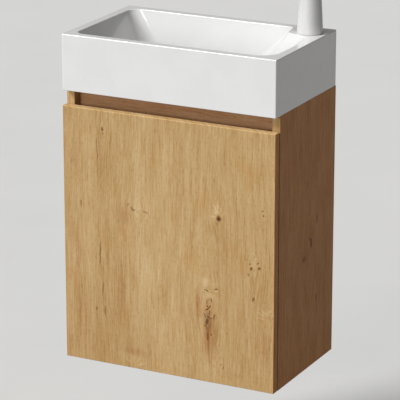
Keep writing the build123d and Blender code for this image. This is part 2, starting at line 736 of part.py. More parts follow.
def ribbed_nut(start, end, outer, inner):
    """A hand nut: a ring with shallow grip ribs round it."""
    way = Vector(*end) - Vector(*start)
    plane = Plane(origin=start, z_dir=way)
    section = Circle(outer) + PolarLocations(outer, GRIP_RIBS) * Circle(GRIP_RIB_RADIUS)
    return extrude(plane * section, way.length) - rod(start, end, inner)


def waste_gasket():
    """The rubber gasket under the bowl's floor."""
    z = BOWL_FLOOR - BOWL_WALL
    return ring(z - GASKET_THICK, z, GASKET_RADIUS, WASTE_TUBE_RADIUS)


def waste_locknut():
    """The nut that clamps the waste to the bowl."""
    z = BOWL_FLOOR - BOWL_WALL - GASKET_THICK
    low = (DRAIN_X, DRAIN_Y, z - LOCKNUT_HEIGHT)
    return ribbed_nut(low, (DRAIN_X, DRAIN_Y, z), LOCKNUT_RADIUS, WASTE_TUBE_RADIUS)


def trap_coupling_nut():
    """The nut that draws the inlet pipe's collar up to the waste."""
    low, high = WASTE_END - COUPLING_HALF, WASTE_END + COUPLING_HALF
    nut = ribbed_nut((DRAIN_X, DRAIN_Y, low), (DRAIN_X, DRAIN_Y, high), COUPLING_RADIUS, WASTE_TUBE_RADIUS)
    return nut + ring(low, low + COUPLING_LIP, COUPLING_LIP_RADIUS, PIPE_RADIUS)


def trap_inlet_pipe():
    """The telescopic inlet pipe, with a collar at its top, reaching down into the trap."""
    top = WASTE_END - SEAL_THICK
    pipe = ring(TRAP_INLET_END, top, PIPE_RADIUS, PIPE_RADIUS - PIPE_WALL)
    return pipe + ring(top - COLLAR_THICK, top, WASTE_TUBE_RADIUS, PIPE_RADIUS - PIPE_WALL)


def trap_body():
    """The trap's body: a capped cylinder with a neck above and an outlet branch towards the wall."""
    socket_radius = PIPE_RADIUS + SOCKET_WALL
    body = on_drain(TRAP_BOTTOM, TRAP_SHOULDER, TRAP_RADIUS)
    neck = on_drain(TRAP_SHOULDER, TRAP_NECK_TOP, socket_radius)
    branch = rod((DRAIN_X, DRAIN_Y, OUTLET_Z), (DRAIN_X, OUTLET_SOCKET_END, OUTLET_Z), socket_radius)
    inner = on_drain(TRAP_BOTTOM, TRAP_SHOULDER - TRAP_WALL, TRAP_RADIUS - TRAP_WALL)
    inlet = on_drain(TRAP_NECK_BORE, TRAP_NECK_TOP, PIPE_RADIUS)
    outlet = rod((DRAIN_X, DRAIN_Y, OUTLET_Z), (DRAIN_X, OUTLET_SOCKET_END, OUTLET_Z), PIPE_RADIUS)
    return body + neck + branch - inner - inlet - outlet


def trap_body_nut():
    """The nut on the trap's neck, which squeezes a seal on the inlet pipe."""
    lip = TRAP_NECK_TOP + SEAL_THICK
    top = lip + TRAP_NUT_LIP
    low = (DRAIN_X, DRAIN_Y, top - TRAP_NUT_LENGTH)
    nut = ribbed_nut(low, (DRAIN_X, DRAIN_Y, top), TRAP_NUT_RADIUS, PIPE_RADIUS + SOCKET_WALL)
    return nut + ring(lip, top, TRAP_NUT_LIP_RADIUS, PIPE_RADIUS)


def trap_cup():
    """The removable bottle cup, with a grip ring at its top and a rounded foot."""
    outer_radius = TRAP_CUP_RADIUS - CUP_RIM
    outer = on_drain(TRAP_CUP_BOTTOM, TRAP_CUP_TOP, outer_radius)
    outer = fillet(outer.edges().sort_by(Axis.Z)[0], TRAP_CUP_CORNER)
    low = (DRAIN_X, DRAIN_Y, TRAP_CUP_TOP - TRAP_CUP_GRIP)
    grip = ribbed_nut(low, (DRAIN_X, DRAIN_Y, TRAP_CUP_TOP), TRAP_CUP_RADIUS, TRAP_RADIUS)
    hollow = on_drain(TRAP_CUP_BOTTOM + TRAP_CUP_FLOOR, TRAP_CUP_TOP, TRAP_RADIUS)
    inner_corner = TRAP_CUP_CORNER - (outer_radius - TRAP_RADIUS)
    hollow = fillet(hollow.edges().sort_by(Axis.Z)[0], inner_corner)
    return outer + grip - hollow


def trap_outlet_pipe():
    """The outlet pipe, from the trap's branch to the wall plane, with a ring that marks its free spigot."""
    start = (DRAIN_X, OUTLET_PIPE_START, OUTLET_Z)
    pipe = tube(start, (DRAIN_X, 0, OUTLET_Z), PIPE_RADIUS, PIPE_RADIUS - PIPE_WALL)
    mark = (DRAIN_X, -SPIGOT_LENGTH - SPIGOT_MARK, OUTLET_Z), (DRAIN_X, -SPIGOT_LENGTH, OUTLET_Z)
    return pipe - tube(*mark, PIPE_RADIUS + CUT_OVER, PIPE_RADIUS - SPIGOT_MARK_DEPTH)


def trap_outlet_nut():
    """The nut on the outlet branch."""
    lip = OUTLET_SOCKET_END + SEAL_THICK
    end = (DRAIN_X, lip + TRAP_NUT_LIP, OUTLET_Z)
    start = (DRAIN_X, lip + TRAP_NUT_LIP - TRAP_NUT_LENGTH, OUTLET_Z)
    nut = ribbed_nut(start, end, TRAP_NUT_RADIUS, PIPE_RADIUS + SOCKET_WALL)
    return nut + tube((DRAIN_X, lip, OUTLET_Z), end, TRAP_NUT_LIP_RADIUS, PIPE_RADIUS)


def trap_seals():
    """Three rubber seals: under the waste, in the trap's neck and in the outlet branch."""
    branch = (DRAIN_X, OUTLET_SOCKET_END, OUTLET_Z)
    return [
        ring(WASTE_END - SEAL_THICK, WASTE_END, WASTE_TUBE_RADIUS, WASTE_BORE_RADIUS),
        ring(TRAP_NECK_TOP, TRAP_NECK_TOP + SEAL_THICK, PIPE_RADIUS + SOCKET_WALL, PIPE_RADIUS),
        tube(branch, (DRAIN_X, branch[1] + SEAL_THICK, OUTLET_Z), PIPE_RADIUS + SOCKET_WALL, PIPE_RADIUS),
    ]


# Tap


def along_spout(distance, across, z):
    """A point given along and across the spout's direction from the tap's axis."""
    turn = math.radians(SPOUT_TURN)
    x = TAP_X + distance * math.cos(turn) - across * math.sin(turn)
    y = TAP_Y + distance * math.sin(turn) + across * math.cos(turn)
    return (x, y, z)


def tap_column():
    """The tapered column, slightly rounded at foot and top."""
    outline = [(0, TAP_BASE), (TAP_BASE_RADIUS, TAP_BASE), (TAP_TOP_RADIUS, TAP_TOP), (0, TAP_TOP)]
    column = turned(outline, TAP_AXIS)
    return fillet(column.edges().filter_by(GeomType.CIRCLE), TAP_EDGE)


def tap_spout():
    """The spout: a slim cone from inside the column to a rounded tip."""
    root = Plane(origin=along_spout(SPOUT_START, 0, SPOUT_Z), z_dir=SPOUT_FRAME.x_axis.direction)
    length = SPOUT_REACH + SPOUT_TIP_RADIUS - SPOUT_START
    cone = root * Pos(0, 0, length / 2) * Cone(SPOUT_ROOT_RADIUS, SPOUT_TIP_RADIUS, length)
    far = cone.edges().filter_by(GeomType.CIRCLE).sort_by_distance(root.origin)[-1]
    return fillet(far, SPOUT_TIP_EDGE)


def inlet_spots():
    """Where the hot and the cold inlet lie in the tap's foot."""
    return [(TAP_X + s * INLET_SPREAD, TAP_Y - INLET_FORWARD) for s in (-1, 1)]


def tap_body():
    """Column and spout cast in one, hollowed for the cartridge, the water, the inlet bushes and the stud."""
    body = tap_column() + tap_spout()
    well = rod((TAP_X, TAP_Y, CARTRIDGE_BOTTOM), (TAP_X, TAP_Y, TAP_TOP), CARTRIDGE_RADIUS)
    socket = rod((TAP_X, TAP_Y, CARTRIDGE_TOP), (TAP_X, TAP_Y, TAP_TOP), SOCKET_RADIUS)
    mouth = along_spout(SPOUT_REACH, 0, SPOUT_Z)
    way = rod(along_spout(0, 0, SPOUT_Z), mouth, SPOUT_BORE_RADIUS)
    outlet = rod(mouth, along_spout(SPOUT_REACH, 0, SPOUT_Z - SPOUT_MOUTH), AERATOR_RADIUS)
    body = body - well - socket - way - outlet
    for x, y in inlet_spots():
        body = body - rod((x, y, TAP_BASE), (x, y, TAP_BASE + INLET_DEPTH), INLET_BUSH_RADIUS)
        body = body - rod((x, y, TAP_BASE), (x, y, CARTRIDGE_BOTTOM), INLET_WAY_RADIUS)
    x, y = TAP_X, TAP_Y + STUD_BACK
    return body - rod((x, y, TAP_BASE), (x, y, TAP_BASE + STUD_IN_TAP), STUD_RADIUS)


def inlet_bushes():
    """Two threaded bushes pressed into the tap's foot, one for each hose."""
    return [
        tube((x, y, TAP_BASE), (x, y, TAP_BASE + INLET_DEPTH), INLET_BUSH_RADIUS, INLET_RADIUS)
        for x, y in inlet_spots()
    ]


def tap_base_seal():
    """The flat seal between the tap and the deck."""
    outer = TAP_BASE_RADIUS - TAP_SEAL_INSET
    return tube((TAP_X, TAP_Y, RIM), (TAP_X, TAP_Y, TAP_BASE), outer, TAP_HOLE_RADIUS)


def tap_stud():
    """The threaded stud that pulls the tap down on the deck."""
    x, y = TAP_X, TAP_Y + STUD_BACK
    return rod((x, y, STUD_END), (x, y, TAP_BASE + STUD_IN_TAP), STUD_RADIUS)


def tap_washer():
    """The horseshoe washer under the deck, open in front for the hoses."""
    top = RIM - DECK
    low = top - WASHER_THICK
    half = WASHER_MOUTH / 2
    front = TAP_Y - WASHER_RADIUS - CUT_OVER
    plate = rod((TAP_X, TAP_Y, low), (TAP_X, TAP_Y, top), WASHER_RADIUS)
    mouth = block(TAP_X - half, TAP_X + half, front, TAP_Y + WASHER_MOUTH_BACK, low, top)
    stud = rod((TAP_X, TAP_Y + STUD_BACK, low), (TAP_X, TAP_Y + STUD_BACK, top), STUD_RADIUS)
    return plate - mouth - stud


def tap_nut():
    """The hexagon nut on the stud."""
    x, y, top = TAP_X, TAP_Y + STUD_BACK, RIM - DECK - WASHER_THICK
    low = top - TAP_NUT_HEIGHT
    nut = Pos(x, y, low) * extrude(RegularPolygon(TAP_NUT_RADIUS, 6), TAP_NUT_HEIGHT)
    return nut - rod((x, y, low), (x, y, top), STUD_RADIUS)


def mixer_cartridge():
    """The mixing cartridge, with a blind hole for the stem."""
    body = rod((TAP_X, TAP_Y, CARTRIDGE_BOTTOM), (TAP_X, TAP_Y, CARTRIDGE_TOP), CARTRIDGE_RADIUS)
    fit = STEM_RADIUS + STEM_FIT
    return body - rod((TAP_X, TAP_Y, CARTRIDGE_TOP - STEM_HOLE), (TAP_X, TAP_Y, CARTRIDGE_TOP), fit)


def cartridge_nut():
    """The ring nut that holds the cartridge down."""
    top = CARTRIDGE_TOP + RING_NUT_HEIGHT
    return tube((TAP_X, TAP_Y, CARTRIDGE_TOP), (TAP_X, TAP_Y, top), SOCKET_RADIUS, RING_NUT_BORE)


def lever_pin_ends(half):
    """The two ends of the pin that the lever tilts on, across the spout's direction."""
    return along_spout(0, -half, TAP_TOP), along_spout(0, half, TAP_TOP)


def mixer_stem():
    """The stem that turns in the cartridge, with a cross hole for the lever's pin."""
    stem = rod((TAP_X, TAP_Y, CARTRIDGE_TOP - STEM_SEAT), (TAP_X, TAP_Y, STEM_TOP), STEM_RADIUS)
    return stem - rod(*lever_pin_ends(LEVER_PIN_HALF), LEVER_PIN_RADIUS)


def lever_pin():
    """The cross pin in the stem."""
    return rod(*lever_pin_ends(LEVER_PIN_HALF), LEVER_PIN_RADIUS)


def tap_lever():
    """The lever: a ball in the column's mouth and a flat tapering blade."""
    upright = Plane(origin=(TAP_X, TAP_Y, TAP_TOP), x_dir=SPOUT_FRAME.x_axis.direction, z_dir=(0, 0, 1))
    side_on = Plane(origin=(TAP_X, TAP_Y, TAP_TOP), x_dir=upright.x_dir, z_dir=-upright.y_dir)
    ball = Pos(TAP_X, TAP_Y, TAP_TOP) * Sphere(BALL_RADIUS)
    root, end = LEVER_ROOT_WIDTH / 2, LEVER_TIP_WIDTH / 2
    plan = Polyline((0, -root), (LEVER_LENGTH, -end), (LEVER_LENGTH, end), (0, root), close=True)
    blade = extrude(side_on * make_face(Polyline(*LEVER_BLADE, close=True)), LEVER_ROOT_WIDTH, both=True)
    blade = blade & extrude(upright * make_face(plan), LEVER_LENGTH)
    tip = blade.edges().filter_by(Axis.Z).sort_by_distance(upright.origin)[-2:]
    blade = fillet(tip, LEVER_TIP_CORNER)
    slot_face = make_face(Polyline(*LEVER_SLOT, close=True))
    slot = extrude(side_on * slot_face, STEM_RADIUS + LEVER_SLOT_PLAY, both=True)
    pin_hole = rod(*lever_pin_ends(BALL_RADIUS + CUT_OVER), LEVER_PIN_RADIUS + STEM_FIT)
    return ball + blade - slot - pin_hole


def spout_aerator():
    """The aerator in the spout's outlet, with its water holes."""
    low = along_spout(SPOUT_REACH, 0, AERATOR_BOTTOM)
    body = rod(low, along_spout(SPOUT_REACH, 0, AERATOR_BOTTOM + AERATOR_LENGTH), AERATOR_RADIUS)
    frame = Location(low)
    through = 2 * AERATOR_LENGTH + CUT_OVER
    for spot in PolarLocations(AERATOR_HOLE_RING, AERATOR_HOLES):
        body = body - frame * spot * Cylinder(AERATOR_HOLE_RADIUS, through)
    return body - frame * Cylinder(AERATOR_CENTRE_RADIUS, through)


def nodes():
    """Every node of the part, by name."""
    made = {
        "left_side_panel": side_panel(-1),
        "right_side_panel": side_panel(1),
        "bottom_panel": bottom_panel(),
        "front_rail": front_rail(),
        "wall_rail": wall_rail(),
        "lower_rear_rail": lower_rear_rail(),
        "shelf": shelf(),
        "shelf_pins": group(shelf_pins()),
        "dowels": group(dowels()),
        "cam_bolts": group(cam_bolts()),
        "cam_locks": group(cam_locks()),
        "basin": basin(),
        "waste_body": waste_body(),
        "waste_plug": waste_plug(),
        "waste_gasket": waste_gasket(),
        "waste_locknut": waste_locknut(),
        "trap_coupling_nut": trap_coupling_nut(),
        "trap_inlet_pipe": trap_inlet_pipe(),
        "trap_body": trap_body(),
        "trap_body_nut": trap_body_nut(),
        "trap_cup": trap_cup(),
        "trap_outlet_nut": trap_outlet_nut(),
        "trap_outlet_pipe": trap_outlet_pipe(),
        "trap_seals": group(trap_seals()),
        "tap_body": tap_body(),
        "inlet_bushes": group(inlet_bushes()),
        "tap_base_seal": tap_base_seal(),
        "tap_stud": tap_stud(),
        "tap_washer": tap_washer(),
        "tap_nut": tap_nut(),
        "mixer_cartridge": mixer_cartridge(),
        "cartridge_nut": cartridge_nut(),
        "mixer_stem": mixer_stem(),
        "lever_pin": lever_pin(),
        "tap_lever": tap_lever(),
        "spout_aerator": spout_aerator(),
        "door_panel": door_panel(),
        "hinge_cup_screws": group(cup_screws()),
        "hinge_plate_screws": group(plate_screws()),
        "hinge_arm_screws": group(arm_screw(z) for z in HINGE_HEIGHTS.values()),
        "door_bumpers": group(door_bumpers()),
    }
    for place, z in HINGE_HEIGHTS.items():
        made[f"{place}_hinge_cup"] = hinge_cup(z)
        made[f"{place}_hinge_pin"] = hinge_pin(z)
        made[f"{place}_hinge_arm"] = hinge_arm(z)
        made[f"{place}_hinge_plate"] = hinge_plate(z)
    return made


def main():
    """Builds every node and writes one file for each."""
    os.makedirs("parts", exist_ok=True)
    for name, shape in nodes().items():
        export_step(shape, f"parts/{name}.step")
        solids = shape.solids()
        print(f"{name}: {len(solids)} solid(s), {sum(s.volume for s in solids):.0f} mm3")


if __name__ == "__main__":
    main()
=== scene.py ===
"""Looks of a wall-hung vanity unit: an oak cabinet with one door, a deep box basin and a corner tap.

Sizes are in millimetres in the row's frame, +Z up and the front facing -Y, and become metres in the mesh.
"""

import logging
import math
from dataclasses import dataclass, field
from enum import Enum

import bpy
import numpy as np
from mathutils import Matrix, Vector


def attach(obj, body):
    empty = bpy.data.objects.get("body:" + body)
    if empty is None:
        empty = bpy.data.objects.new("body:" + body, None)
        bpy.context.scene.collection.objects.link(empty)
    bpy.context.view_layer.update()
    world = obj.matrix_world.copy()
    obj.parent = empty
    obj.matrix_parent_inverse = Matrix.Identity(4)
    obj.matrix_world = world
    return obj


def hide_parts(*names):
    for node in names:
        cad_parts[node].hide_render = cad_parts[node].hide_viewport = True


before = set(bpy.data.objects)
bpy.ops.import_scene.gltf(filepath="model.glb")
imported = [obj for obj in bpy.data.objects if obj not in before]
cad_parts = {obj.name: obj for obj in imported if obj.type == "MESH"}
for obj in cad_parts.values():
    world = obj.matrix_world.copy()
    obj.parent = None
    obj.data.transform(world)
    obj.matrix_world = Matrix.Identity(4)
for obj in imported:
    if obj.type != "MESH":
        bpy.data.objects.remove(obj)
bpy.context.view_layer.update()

LOG = logging.getLogger("vanity_unit")
MM = 0.001

Colour = tuple[float, float, float]
Point = tuple[float, float, float]


# Shader maths


class Mix(Enum):
    """The way two colours mix."""

    OVER = "MIX"
    TIMES = "MULTIPLY"


class Value:
    """A node socket that takes part in sums: each operator adds the Math node that works it out."""

    def __init__(self, shader: "Shader", socket: bpy.types.NodeSocket) -> None:
        """Wraps one output socket of a shader's node."""
        self.shader = shader
        self.socket = socket

    def math(self, operation: str, *terms: "Value | float") -> "Value":
        """A Math node over this value and others.

        Args:
            operation: The Math node's operation.
            terms: What the node's sockets take, in order.

        Returns:
            The node's result.
        """
        made = self.shader.node("ShaderNodeMath", {"operation": operation}, dict(enumerate(terms)))
        return Value(self.shader, made.outputs[0])

    def __add__(self, other: "Value | float") -> "Value":
        """This plus other."""
        return self.math("ADD", self, other)

    def __radd__(self, other: float) -> "Value":
        """Other plus this."""
        return self.math("ADD", other, self)

    def __sub__(self, other: "Value | float") -> "Value":
        """This minus other."""
        return self.math("SUBTRACT", self, other)

    def __rsub__(self, other: float) -> "Value":
        """Other minus this."""
        return self.math("SUBTRACT", other, self)

    def __mul__(self, other: "Value | float") -> "Value":
        """This times other."""
        return self.math("MULTIPLY", self, other)

    def __rmul__(self, other: float) -> "Value":
        """Other times this."""
        return self.math("MULTIPLY", other, self)

    def __truediv__(self, other: "Value | float") -> "Value":
        """This divided by other."""
        return self.math("DIVIDE", self, other)

    def larger(self, other: "Value | float") -> "Value":
        """The larger of this and other."""
        return self.math("MAXIMUM", self, other)

    def size(self) -> "Value":
        """How far this is from 0."""
        return self.math("ABSOLUTE", self)

    def sine(self) -> "Value":
        """The sine of this, in radians."""
        return self.math("SINE", self)


class Shader:
    """A material's node tree, with the few kinds of node that the finishes are made of."""

    def __init__(self, name: str) -> None:
        """Starts a material of that name with its one surface shader."""
        self.material = bpy.data.materials.new(name)
        self.material.use_nodes = True
        self.tree = self.material.node_tree
        self.surface = self.tree.nodes["Principled BSDF"]

    def node(self, kind: str, settings: dict | None = None, inputs: dict | None = None) -> bpy.types.Node:
        """Any node of the tree.

        Args:
            kind: The node's type.
            settings: Its properties, and "stops" for a colour ramp, set before its sockets.
            inputs: What its sockets take, by name or number: a Value or a constant.

        Returns:
            The new node.
        """
        made = self.tree.nodes.new(kind)
        for name, value in (settings or {}).items():
            if name == "stops":
                self.set_stops(made.color_ramp, value)
            else:
                setattr(made, name, value)
        for key, value in (inputs or {}).items():
            self.feed(made.inputs[key], value)
        return made

    def feed(self, socket: bpy.types.NodeSocket, value: "Value | float | tuple") -> None:
        """Links a Value to a socket, or sets a constant on it."""
        if isinstance(value, Value):
            self.tree.links.new(value.socket, socket)
        else:
            socket.default_value = value

    @staticmethod
    def set_stops(ramp: bpy.types.ColorRamp, stops: list[tuple[float, Colour]]) -> None:
        """Gives a colour ramp its stops, each a place from 0 to 1 and a colour."""
        while len(ramp.elements) < len(stops):
            ramp.elements.new(1.0)
        for element, (place, colour) in zip(ramp.elements, stops):
            element.position = place
            element.color = (*colour, 1.0)

    def place(self, origin: Point = (0.0, 0.0, 0.0)) -> tuple[Value, Value, Value]:
        """The point being shaded, from an origin.

        Args:
            origin: The point, in mm in the row's frame, that counts as zero.

        Returns:
            Its x, y and z in mm.
        """
        coords = self.node("ShaderNodeTexCoord").outputs["Object"]
        mapped = self.node("ShaderNodeMapping", {"vector_type": "TEXTURE"}, {
            "Vector": Value(self, coords), "Location": tuple(c * MM for c in origin), "Scale": (MM, MM, MM)})
        parts = self.node("ShaderNodeSeparateXYZ", {}, {0: Value(self, mapped.outputs[0])}).outputs
        return tuple(Value(self, part) for part in parts)

    def join(self, x: "Value | float", y: "Value | float", z: "Value | float" = 0.0) -> Value:
        """A vector of three numbers."""
        return Value(self, self.node("ShaderNodeCombineXYZ", {}, {0: x, 1: y, 2: z}).outputs[0])

    def noise(self, where: Value, detail: float = 2.0, roughness: float = 0.5, scale: float = 1.0) -> Value:
        """Smooth noise from about 0 to 1.

        Args:
            where: The vector that it is read at.
            detail: The number of finer layers on it.
            roughness: How strong the finer layers are.
            scale: How many features there are per unit of the vector.

        Returns:
            The noise.
        """
        made = self.node("ShaderNodeTexNoise", {}, {
            "Vector": where, "Scale": scale, "Detail": detail, "Roughness": roughness})
        return Value(self, made.outputs["Fac"])

    def fade(self, value: Value, start: float, end: float, low: float = 0.0, high: float = 1.0) -> Value:
        """A soft step: low before start, high after end."""
        made = self.node("ShaderNodeMapRange", {"interpolation_type": "SMOOTHSTEP"}, {
            "Value": value, "From Min": start, "From Max": end, "To Min": low, "To Max": high})
        return Value(self, made.outputs[0])

    def ramp(self, value: Value, stops: list[tuple[float, Colour]]) -> Value:
        """A colour picked from stops by a value from 0 to 1."""
        return Value(self, self.node("ShaderNodeValToRGB", {"stops": stops}, {0: value}).outputs[0])

    def blend(self, factor: "Value | float", first: "Value | Colour", second: "Value | Colour",
              way: Mix = Mix.OVER) -> Value:
        """Two colours mixed.

        Args:
            factor: The share of the second colour, from 0 to 1.
            first: The colour underneath.
            second: The colour on top.
            way: The way they mix.

        Returns:
            The mixed colour.
        """
        sockets = {0: factor}
        for key, colour in ((6, first), (7, second)):
            sockets[key] = colour if isinstance(colour, Value) else (*colour, 1.0)
        made = self.node("ShaderNodeMix", {"data_type": "RGBA", "blend_type": way.value}, sockets)
        return Value(self, made.outputs[2])

    def tint(self, factor: "Value | float", colour: Value, multiplier: Colour) -> Value:
        """A colour multiplied by another, by a share from 0 to 1."""
        return self.blend(factor, colour, multiplier, Mix.TIMES)

    def raise_by(self, height: Value, distance: float, strength: float = 1.0) -> None:
        """Bumps the surface.

        Args:
            height: How high each point stands, from 0 to 1.
            distance: The height of 1, in mm.
            strength: The share of it that shows.
        """
        made = self.node("ShaderNodeBump", {}, {
            "Height": height, "Distance": distance * MM, "Strength": strength})
        self.feed(self.surface.inputs["Normal"], Value(self, made.outputs["Normal"]))

    def finish(self, **sockets: "Value | float | Colour") -> bpy.types.Material:
        """Feeds the surface shader, by socket name with _ for a space, and returns the material."""
        for name, value in sockets.items():
            socket = self.surface.inputs[name.replace("_", " ")]
            if isinstance(value, tuple) and len(value) == 3:
                value = (*value, 1.0)
            self.feed(socket, value)
        return self.material


# Finishes


class Grain(Enum):
    """Which way a board's grain runs."""

    UPRIGHT = "along z"
    LEVEL = "along x"


class Tone(Enum):
    """What a mark does to the oak's colour: a multiplier, and where its edge starts and ends."""

    CRACK = ((0.26, 0.17, 0.11), 1.25, 0.70)
    KNOT = ((0.44, 0.32, 0.24), 1.30, 0.55)
    RED = ((0.78, 0.60, 0.52), 1.60, 0.10)
    SHADE = ((0.84, 0.76, 0.66), 1.70, 0.10)
    PALE = ((1.22, 1.32, 1.55), 1.40, 0.40)


CRACK, KNOT, RED, SHADE, PALE = Tone


class Strand(Enum):
    """A layer of the oak's grain: its marks' width and length in mm, its seed and its finer layers."""

    BAND = (38.0, 420.0, 1.0, 2.0)
    STREAK = (9.0, 120.0, 2.0, 2.0)
    LINE = (2.6, 60.0, 3.0, 2.0)
    FIBRE = (1.3, 14.0, 7.0, 1.0)
    PORE = (1.1, 9.0, 4.0, 1.0)
    WARM = (26.0, 90.0, 5.0, 2.0)
    DARK = (5.0, 120.0, 6.0, 2.0)


# The grain's colours from dark to pale, each layer's share in it, and what its marks multiply it by
OAK_STOPS = [(0.10, (0.366, 0.209, 0.081)), (0.38, (0.475, 0.291, 0.117)),
             (0.60, (0.541, 0.358, 0.161)), (0.90, (0.611, 0.437, 0.229))]
OAK_SHARES = {Strand.BAND: 0.55, Strand.STREAK: 0.60, Strand.LINE: 0.95, Strand.FIBRE: 0.55}
OAK_MIDDLE = 0.54
WARM_TINT, DARK_TINT, PORE_TINT = (0.96, 0.86, 0.74), (0.78, 0.70, 0.58), (0.66, 0.54, 0.42)
# Painted highlight on a board's top edge, and painted shade on its outer side face
TOP_EDGE_PAINTED_HIGHLIGHT, SIDE_PAINTED_SHADE = (1.28, 1.30, 1.36), (1.17, 0.80, 0.59)
CORE_STOPS = [(0.0, (0.30, 0.19, 0.10)), (0.5, (0.50, 0.36, 0.21)), (1.0, (0.66, 0.52, 0.34))]


@dataclass(frozen=True)
class Mark:
    """A crack, knot, stain or pale ray on a board, as an ellipse in mm across and along the grain."""

    across: float
    along: float
    half_across: float
    half_along: float
    tone: Tone
    strength: float = 1.0
    tilt: float = 0.0


@dataclass(frozen=True)
class Eddy:
    """A place that the grain lines flow round, in mm across and along the grain."""

    across: float
    along: float
    radius: float
    stretch: float = 2.6


def rays(across: float, along: float, reach: float, width: float, tilts: tuple[float, ...],
         strength: float = 0.8) -> tuple[Mark, ...]:
    """Pale rays that spread from a point.

    Args:
        across: The point's place across the grain.
        along: Its place along the grain.
        reach: How far the rays reach.
        width: Half the width of one.
        tilts: Their directions in degrees from upwards, to the left.
        strength: How pale they are.

    Returns:
        One mark a ray, which starts a third of its reach from the point.
    """
    middle = 0.62 * reach
    return tuple(
        Mark(across - middle * math.sin(math.radians(tilt)), along + middle * math.cos(math.radians(tilt)),
             width, 0.38 * reach, PALE, strength, tilt)
        for tilt in tilts)


@dataclass(frozen=True)
class Oak:
    """Oak decor: long bands and streaks, fine lines, pores, knots and the raw core on its rear edges, with painted
    highlight on a top edge and painted shade on an outer face where a board asks for them.
    """

    name: str
    seed: float
    grain: Grain = Grain.UPRIGHT
    origin: Point = (0.0, 0.0, 0.0)
    eddies: tuple[Eddy, ...] = ()
    marks: tuple[Mark, ...] = ()
    tint: Colour = (1.0, 1.0, 1.0)
    wander: float = 9.0
    raw_edge: bool = True
    highlight_above: float = 1000.0
    shade_beyond: float = 1000.0
    soft_edge: float = 0.5
    ragged: float = 4.5
    shift: float = 0.4
    specular: float = 0.22

    def flow(self, shader: Shader, across: Value, along: Value) -> Value:
        """Bends the place across the grain, so that lines of equal value wander and part round each eddy.

        An eddy of radius R at distance q takes d R R / (q q + R R) off the distance d across.

        Args:
            shader: The material's shader.
            across: The place across the grain.
            along: The place along the grain.

        Returns:
            The bent place across the grain.
        """
        slow = shader.noise(shader.join(across / 150.0, along / 420.0, self.seed), 1.0)
        bent = across + (slow - 0.5) * (2.0 * self.wander)
        for eddy in self.eddies:
            aside = across - eddy.across
            upward = (along - eddy.along) / eddy.stretch
            size = eddy.radius ** 2
            bent = bent - aside * size / (aside * aside + upward * upward + size)
        return bent

    def stain(self, shader: Shader, colour: Value, across: Value, along: Value) -> Value:
        """Lays the marks over a colour, tone by tone.

        The marks of one tone shift the next tone's by a little, so that a shader never holds all at once.

        Args:
            shader: The material's shader.
            colour: The oak's colour so far.
            across: The place across the grain.
            along: The place along the grain.

        Returns:
            The colour with its marks.
        """
        rough = shader.noise(shader.join(across / 5.0, along / 9.0, self.seed + 5.0), 2.0)
        wobble = (rough - 0.5) * self.ragged
        for tone in Tone:
            multiplier, start, end = tone.value
            where = shader.join(across + wobble, along + wobble * 1.7)
            cover = None
            for mark in (m for m in self.marks if m.tone is tone):
                local = shader.node("ShaderNodeMapping", {"vector_type": "TEXTURE"}, {
                    "Vector": where, "Location": (mark.across, mark.along, 0.0),
                    "Rotation": (0.0, 0.0, math.radians(mark.tilt)),
                    "Scale": (mark.half_across, mark.half_along, 1.0)})
                length = shader.node("ShaderNodeVectorMath", {"operation": "LENGTH"},
                                     {0: Value(shader, local.outputs[0])})
                one = shader.fade(Value(shader, length.outputs["Value"]), start, end, 0.0, mark.strength)
                cover = one if cover is None else cover.larger(one)
            if cover is not None:
                colour = shader.tint(cover, colour, multiplier)
                wobble = wobble + cover * self.shift
        return colour

    def core(self, shader: Shader, colour: Value, y: Value) -> Value:
        """Shows the raw chipboard core on the rear edges, which no one sees on a fitted unit."""
        flakes = shader.noise(shader.join(*shader.place()), 3.0, 0.7, 0.45)
        chips = shader.ramp(shader.fade(flakes, 0.3, 0.7), CORE_STOPS)
        return shader.blend(shader.fade(y, -0.35, -0.15), colour, chips)

    def build(self) -> bpy.types.Material:
        """The finished material."""
        shader = Shader(self.name)
        x, y, z = shader.place(self.origin)
        across, along = (x + y, z) if self.grain is Grain.UPRIGHT else (y + z, x)
        bent = self.flow(shader, across, along)

        def grain(strand: Strand) -> Value:
            """Noise drawn out along the grain, centred on 0."""
            width, length, seed, detail = strand.value
            return shader.noise(shader.join(bent / width, along / length, self.seed + seed), detail) - 0.5

        layers = {strand: grain(strand) for strand in Strand}
        lines, pores = layers[Strand.LINE], shader.fade(layers[Strand.PORE], 0.08, 0.22)
        tone = OAK_MIDDLE
        for strand, share in OAK_SHARES.items():
            tone = tone + layers[strand] * share
        colour = shader.ramp(tone, OAK_STOPS)
        colour = shader.tint(shader.fade(layers[Strand.WARM], 0.03, 0.22, 0.0, 0.75), colour, WARM_TINT)
        colour = shader.tint(shader.fade(layers[Strand.DARK], 0.16, 0.30, 0.0, 0.7), colour, DARK_TINT)
        colour = shader.tint(pores * 0.55, colour, PORE_TINT)
        colour = self.stain(shader, colour, across, along)
        # The board's tint, which on the front rail is painted shade
        colour = shader.tint(1.0, colour, self.tint)
        # Painted highlight: paler along the top edge
        top_highlight = shader.fade(shader.place()[2], self.highlight_above - self.soft_edge, self.highlight_above)
        colour = shader.tint(top_highlight, colour, TOP_EDGE_PAINTED_HIGHLIGHT)
        # Painted shade: darker and redder on the outer side face
        outer = shader.fade(shader.place()[0], self.shade_beyond - self.soft_edge, self.shade_beyond)
        colour = shader.tint(outer, colour, SIDE_PAINTED_SHADE)
        if self.raw_edge:
            colour = self.core(shader, colour, shader.place()[1])
        shader.raise_by(lines * 0.5 - pores, 0.08, 0.6)
        shader.surface.inputs["Specular IOR Level"].default_value = self.specular
        return shader.finish(Base_Color=colour, Roughness=0.55 + pores * 0.15 - lines * 0.2)


